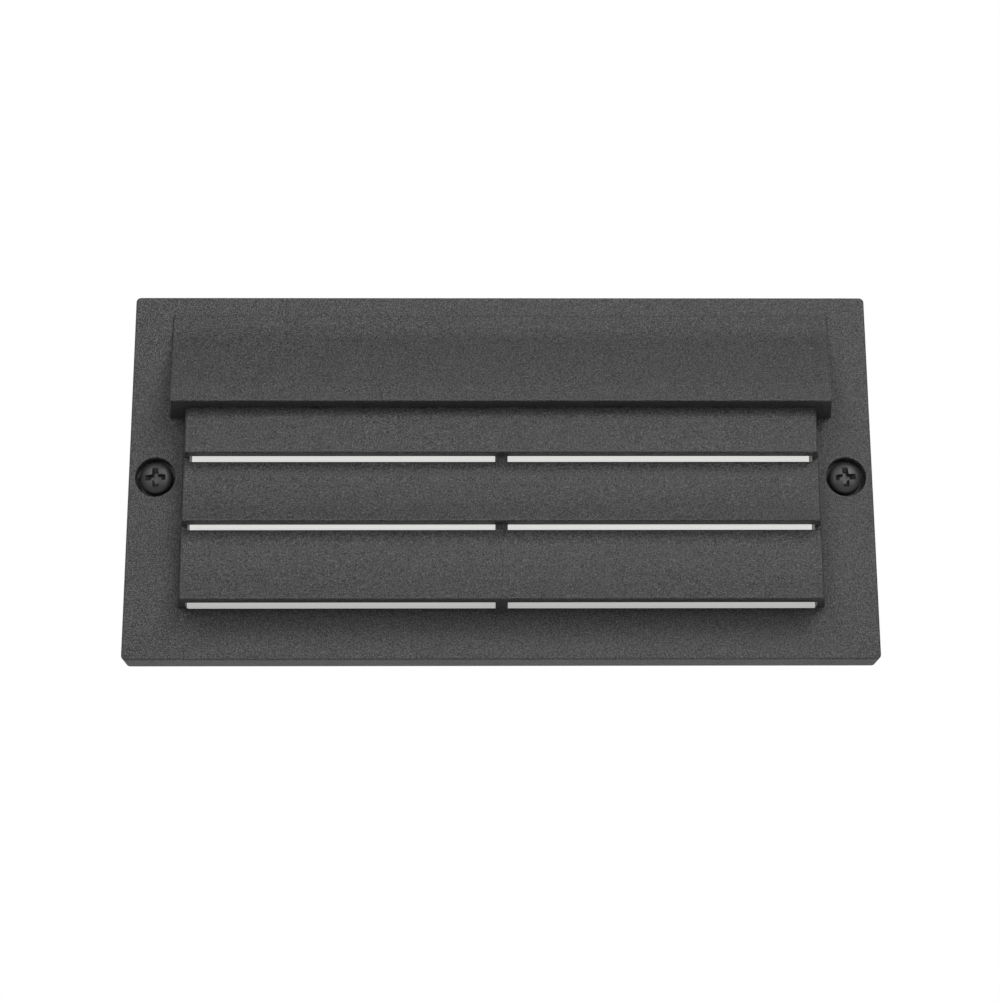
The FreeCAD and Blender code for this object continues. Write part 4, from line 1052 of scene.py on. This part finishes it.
@dataclass
class FaceplateScrew:
    """One captive M5 pan-head screw with a cross recess, coated like the faceplate.

    Known fault: the seat lies 0.02 mm behind the washer's front, at -7.80, so the two overlap.
    """

    side: Side
    x: float = 109.1
    z: float = -0.8
    seat: float = -7.78
    head_radius: float = 5.1
    head_height: float = 3.1
    shank_radius: float = 2.5
    length: float = 16.0
    tip_chamfer: float = 0.6
    recess_span: float = 6.5
    recess_wing: float = 1.85
    recess_depth: float = 2.1
    recess_turn: float = -3.0

    def profile(self) -> list[Point]:
        """Return depth and radius pairs from the crown of the head to the tip."""
        front = self.seat - self.head_height
        crown = []
        for step in range(9):
            angle = math.radians(72.0 * (1 - step / 8))
            rise = self.head_height * (0.45 + 0.55 * math.sin(angle))
            crown.append((self.seat - rise, self.head_radius * math.cos(angle)))
        tip = self.seat + self.length
        return [
            (front, 0.5 * crown[0][1]),
            *crown,
            (self.seat - 0.25, self.head_radius),
            (self.seat, self.head_radius - 0.25),
            (self.seat, self.shank_radius),
            (tip - self.tip_chamfer, self.shank_radius),
            (tip, self.shank_radius - self.tip_chamfer),
        ]

    def cross(self) -> list[bpy.types.Object]:
        """Make the two tapered arms that cut the recess."""
        front = self.seat - self.head_height
        centre = Vector((self.side.value * self.x, 0.0, self.z)) * MM
        arms = []
        for quarter in (0.0, 90.0):
            turn = Matrix.Rotation(math.radians(quarter + self.recess_turn), 3, "Y")
            rings = []
            for y, span, wing in (
                (front - 0.6, self.recess_span + 0.4, self.recess_wing + 0.35),
                (front + 0.35, self.recess_span, self.recess_wing),
                (front + self.recess_depth, self.recess_span / 2, self.recess_wing / 1.5),
            ):
                corners = [(sx * span / 2, sz * wing / 2, 0.3) for sx, sz in QUARTERS]
                rings.append(
                    [
                        centre + turn @ (Vector((px, y, pz)) * MM)
                        for px, pz in rounded(corners, 30.0)
                    ]
                )
            arms.append(skin("arm", rings))
        return arms

    def build(self) -> bpy.types.Object:
        """Make the screw and put it in the place of its CAD node.

        Returns:
            The screw.
        """
        name = f"{self.side.name.lower()}_screw"
        screw = turned(name + "_pan_head", self.side.value * self.x, self.z, self.profile())
        screw = combine(screw, self.cross(), Cut.REMOVE)
        # The screw's coat keeps a few painted glints: pale colour on the grain's tips, a painted
        # highlight.
        coat(
            screw,
            PowderCoat(
                name + "_black_coat_on_steel", colour="#222223", roughness=0.42,
                grain_height_mm=0.02, painted_glint_share=0.12,
            ).material(),
        )
        soften(screw, 28.0)
        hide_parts(name)
        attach(screw, name)
        return screw


# ---- pieces that keep their CAD form -------------------------------------------------------


@dataclass
class Dressing:
    """Gives pieces that keep their CAD form the finish of the real ones."""

    nodes: dict[str, bpy.types.Object]

    def finishes(self) -> dict[str, Callable[[], bpy.types.Material]]:
        """Return the finish of each node by its name."""
        foam = Moulded("gasket_closed_cell_foam_rubber", "#1b1b1b", 0.85, 1.5, 0.5, 0.08)
        rubber = Moulded("moulded_black_rubber", "#1a1a1a", 0.6, 1.52, 0.8, 0.02)
        steel = BareMetal("zinc_plated_steel_screws", "#b9bcbe", 0.3, 0.3)
        stainless = BareMetal("stainless_spring_strip", "#c2c2c0", 0.28, 0.2)
        return {
            # The lens carries a painted glow: emission that stands in for the emitters' light.
            "lens": OpalSheet("opal_polycarbonate_sheet").material,
            "lens_gasket": Moulded("clear_silicone_sheet", "#d6d6d0", 0.5, 1.41).material,
            "lens_clips": stainless.material,
            "lens_clip_screws": BareMetal("stainless_clip_screws", "#b4b4b2", 0.3).material,
            "faceplate_gasket": foam.material,
            "screw_retainers": Moulded("natural_nylon_rings", "#e4e1d8", 0.4, 1.53).material,
            "left_screw_washer": rubber.material,
            "right_screw_washer": rubber.material,
            # Both coats below carry painted glints: pale colour on the grain's tips, a painted
            # highlight.
            "housing": PowderCoat("housing_powder_coat_on_die_casting", "#2b2b2c").material,
            "entry_plugs": PowderCoat("plug_powder_coat_on_die_cast_zinc", "#2d2d2e").material,
            "plug_seals": rubber.material,
            "bracket": BareMetal("mill_finish_aluminium_sheet", "#cfd1d3", 0.36, 0.35).material,
            "bracket_screws": steel.material,
            "thermal_pad": Moulded("grey_silicone_gap_pad", "#8d98a6", 0.7, 1.41).material,
            "light_board": Moulded("white_solder_mask_board", "#efefec", 0.35, 1.5).material,
            "emitters": Moulded("yellow_phosphor_emitters", "#e9c63f", 0.3, 1.5).material,
            "reflector": Moulded("white_moulded_reflector", "#f1f1ef", 0.25, 1.55).material,
            "board_screws": steel.material,
            "board_connector": Moulded("natural_nylon_connector", "#e6e3da", 0.4, 1.53).material,
            "driver": Moulded("driver_moulded_white_case", "#e4e4e1", 0.5, 1.54).material,
            "driver_screws": steel.material,
            "lead_grommet": rubber.material,
            "output_lead_positive": Moulded("red_pvc_insulation", "#a81d18", 0.35, 1.53).material,
            "output_lead_negative": Moulded("black_pvc_insulation", "#1d1d1d", 0.35).material,
            "line_lead": Moulded("black_pvc_line_insulation", "#1d1d1d", 0.35, 1.53).material,
            "neutral_lead": Moulded("white_pvc_insulation", "#e9e9e6", 0.35, 1.53).material,
            "ground_lead": Moulded("green_pvc_insulation", "#1c6b38", 0.35, 1.53).material,
            "wire_nuts": Moulded("orange_moulded_connector", "#dc6a1c", 0.4, 1.5).material,
            "ring_terminal": BareMetal("tin_plated_copper_terminal", "#c3c0b8", 0.34).material,
            "ground_screw": BareMetal("green_dyed_plated_steel", "#2e7d4a", 0.34).material,
        }

    def build(self) -> None:
        """Dress every node that keeps its CAD form."""
        for name, finish in self.finishes().items():
            piece = self.nodes[name]
            coat(piece, finish())
            piece.data.shade_smooth()
            LOG.info("dressed %s", name)


# ---- studio --------------------------------------------------------------------------------


@dataclass(frozen=True)
class Softbox:
    """A rectangular softbox on a stand, given by its bearing from the lamp.

    Azimuth runs to the right of the photographer's side, and elevation is above the horizontal.
    """

    name: str
    azimuth: float
    elevation: float
    width: float
    height: float
    power: float
    distance: float = 1.6

    def hang(self, aim: Vector) -> None:
        """Put the softbox into the scene, facing a point.

        Args:
            aim: The point, in metres.
        """
        across, up = math.radians(self.azimuth), math.radians(self.elevation)
        bearing = Vector(
            (math.cos(up) * math.sin(across), -math.cos(up) * math.cos(across), math.sin(up))
        )
        data = bpy.data.lights.new(self.name, "AREA")
        data.shape = "RECTANGLE"
        data.size, data.size_y = self.width, self.height
        data.energy = self.power
        lamp = bpy.data.objects.new(self.name, data)
        bpy.context.scene.collection.objects.link(lamp)
        lamp.location = aim + bearing * self.distance
        lamp.rotation_mode = "QUATERNION"
        lamp.rotation_quaternion = (-bearing).to_track_quat("-Z", "Y")


@dataclass
class Studio:
    """The plain pale studio: backdrop, floor, soft lamps and the photograph's camera."""

    camera_distance: float = 634.12
    yaw: float = 0.580
    pitch: float = 14.034
    roll: float = -0.172
    aim_x: float = -0.286
    aim_z: float = -5.735
    focal_pixels: float = 1977.9
    frame_pixels: float = 1000.0
    sensor: float = 36.0
    floor_drop: float = 900.0
    floor_paleness: float = 0.8
    floor_reach: float = 6.0
    low_ambient: float = 0.03
    high_ambient: float = 0.30
    room_span: Point = (-0.4, 0.6)
    backdrop_span: Point = (0.1, 0.4)
    softboxes: tuple[Softbox, ...] = (
        Softbox("right_high_softbox", 24.0, 30.0, 0.6, 0.6, 11.5),
        Softbox("right_low_softbox", 22.0, 8.0, 0.6, 0.5, 5.0),
        Softbox("left_high_softbox", -24.0, 30.0, 0.6, 0.6, 5.5),
        Softbox("left_low_softbox", -22.0, 8.0, 0.6, 0.5, 4.5),
        Softbox("rear_softbox", 165.0, 40.0, 0.9, 0.6, 9.0),
    )

    def place_camera(self) -> None:
        """Set the camera where the photograph was taken from."""
        yaw, pitch, roll = (math.radians(a) for a in (self.yaw, self.pitch, self.roll))
        forward = Vector(
            (
                math.sin(yaw) * math.cos(pitch),
                math.cos(yaw) * math.cos(pitch),
                math.sin(pitch),
            )
        )
        right = Vector((math.cos(yaw), -math.sin(yaw), 0.0))
        up = right.cross(forward)
        tilted_right = math.cos(roll) * right + math.sin(roll) * up
        tilted_up = -math.sin(roll) * right + math.cos(roll) * up
        data = bpy.data.cameras.new("photo_camera")
        data.sensor_fit = "HORIZONTAL"
        data.sensor_width = self.sensor
        data.lens = self.focal_pixels / self.frame_pixels * self.sensor
        data.clip_start, data.clip_end = 0.01, 50.0
        camera = bpy.data.objects.new("photo_camera", data)
        bpy.context.scene.collection.objects.link(camera)
        aim = Vector((self.aim_x, 0.0, self.aim_z)) * MM
        turn = Matrix((tilted_right, tilted_up, -forward)).transposed()
        camera.matrix_world = Matrix.Translation(
            aim - forward * self.camera_distance * MM
        ) @ turn.to_4x4()
        bpy.context.scene.camera = camera

    def light_world(self) -> None:
        """Make a soft grey world, darker below.

        A camera sees it as white, and reflections do so behind the object, where the backdrop is.
        """
        world = bpy.data.worlds.new("pale_studio")
        bpy.context.scene.world = world
        world.use_nodes = True
        tree = world.node_tree
        tree.nodes.clear()
        path = add_node(tree, "ShaderNodeLightPath")
        compass = add_node(tree, "ShaderNodeTexCoord").outputs["Generated"]
        bearing = add_node(tree, "ShaderNodeSeparateXYZ", {"Vector": compass})
        room = add_node(
            tree,
            "ShaderNodeMapRange",
            {
                "Value": bearing.outputs["Z"],
                "From Min": self.room_span[0],
                "From Max": self.room_span[1],
                "To Min": self.low_ambient,
                "To Max": self.high_ambient,
            },
        )
        backdrop = add_node(
            tree,
            "ShaderNodeMapRange",
            {
                "Value": bearing.outputs["Y"],
                "From Min": self.backdrop_span[0],
                "From Max": self.backdrop_span[1],
            },
        )
        sheen = add_node(
            tree,
            "ShaderNodeMath",
            {0: path.outputs["Is Glossy Ray"], 1: path.outputs["Is Transmission Ray"]},
            operation="MAXIMUM",
        )
        behind = add_node(
            tree,
            "ShaderNodeMath",
            {0: sheen.outputs["Value"], 1: backdrop.outputs["Result"]},
            operation="MULTIPLY",
        )
        shown = add_node(
            tree,
            "ShaderNodeMath",
            {0: path.outputs["Is Camera Ray"], 1: behind.outputs["Value"]},
            operation="MAXIMUM",
        )
        ambient = add_node(
            tree,
            "ShaderNodeBackground",
            {"Color": linear("#ffffff"), "Strength": room.outputs["Result"]},
        )
        seen = add_node(
            tree, "ShaderNodeBackground", {"Color": linear("#ffffff"), "Strength": 1.0}
        )
        mixed = add_node(
            tree,
            "ShaderNodeMixShader",
            {0: shown.outputs["Value"], 1: ambient.outputs[0], 2: seen.outputs[0]},
        )
        add_node(tree, "ShaderNodeOutputWorld", {"Surface": mixed.outputs[0]})

    def lay_floor(self) -> None:
        """Lay the pale floor well under the lamp, so that the low camera stays above it."""
        reach = self.floor_reach
        level = -self.floor_drop * MM
        mesh = bpy.data.meshes.new("studio_floor")
        mesh.from_pydata(
            [(sx * reach, sy * reach, level) for sx, sy in QUARTERS],
            [],
            [(0, 1, 2, 3)],
        )
        floor = new_object("studio_floor", mesh)
        material, tree = blank_material("matt_white_studio_floor")
        shader = add_node(
            tree,
            "ShaderNodeBsdfPrincipled",
            {"Base Color": linear("#f4f4f4"), "Roughness": 0.8},
        )
        # A camera sees the paper paler than the lamps make it. The object gets no light from that.
        pale = add_node(
            tree, "ShaderNodeEmission", {"Color": linear("#fafafa"), "Strength": 1.0}
        )
        path = add_node(tree, "ShaderNodeLightPath")
        seen = add_node(
            tree,
            "ShaderNodeMath",
            {0: path.outputs["Is Camera Ray"], 1: self.floor_paleness},
            operation="MULTIPLY",
        )
        paper = add_node(
            tree,
            "ShaderNodeMixShader",
            {0: seen.outputs["Value"], 1: shader.outputs["BSDF"], 2: pale.outputs["Emission"]},
        )
        add_node(tree, "ShaderNodeOutputMaterial", {"Surface": paper.outputs[0]})
        coat(floor, material)

    def build(self) -> None:
        """Set up the whole studio."""
        scene = bpy.context.scene
        scene.view_settings.view_transform = "Standard"
        self.light_world()
        self.lay_floor()
        middle = Vector((0.0, 0.0, 0.0))
        for softbox in self.softboxes:
            softbox.hang(middle)
        self.place_camera()


def main() -> None:
    """Build the step light's pieces in order, then the studio round them."""
    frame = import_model()
    casting = Faceplate().build()
    LOG.info("built %s with %d faces", casting.name, len(casting.data.polygons))
    for side in Side:
        screw = FaceplateScrew(side).build()
        LOG.info("built %s with %d faces", screw.name, len(screw.data.polygons))
    Dressing(frame["nodes"]).build()
    Studio().build()


if __name__ == "__main__":
    logging.basicConfig(level=logging.INFO, format="%(name)s: %(message)s")
    main()
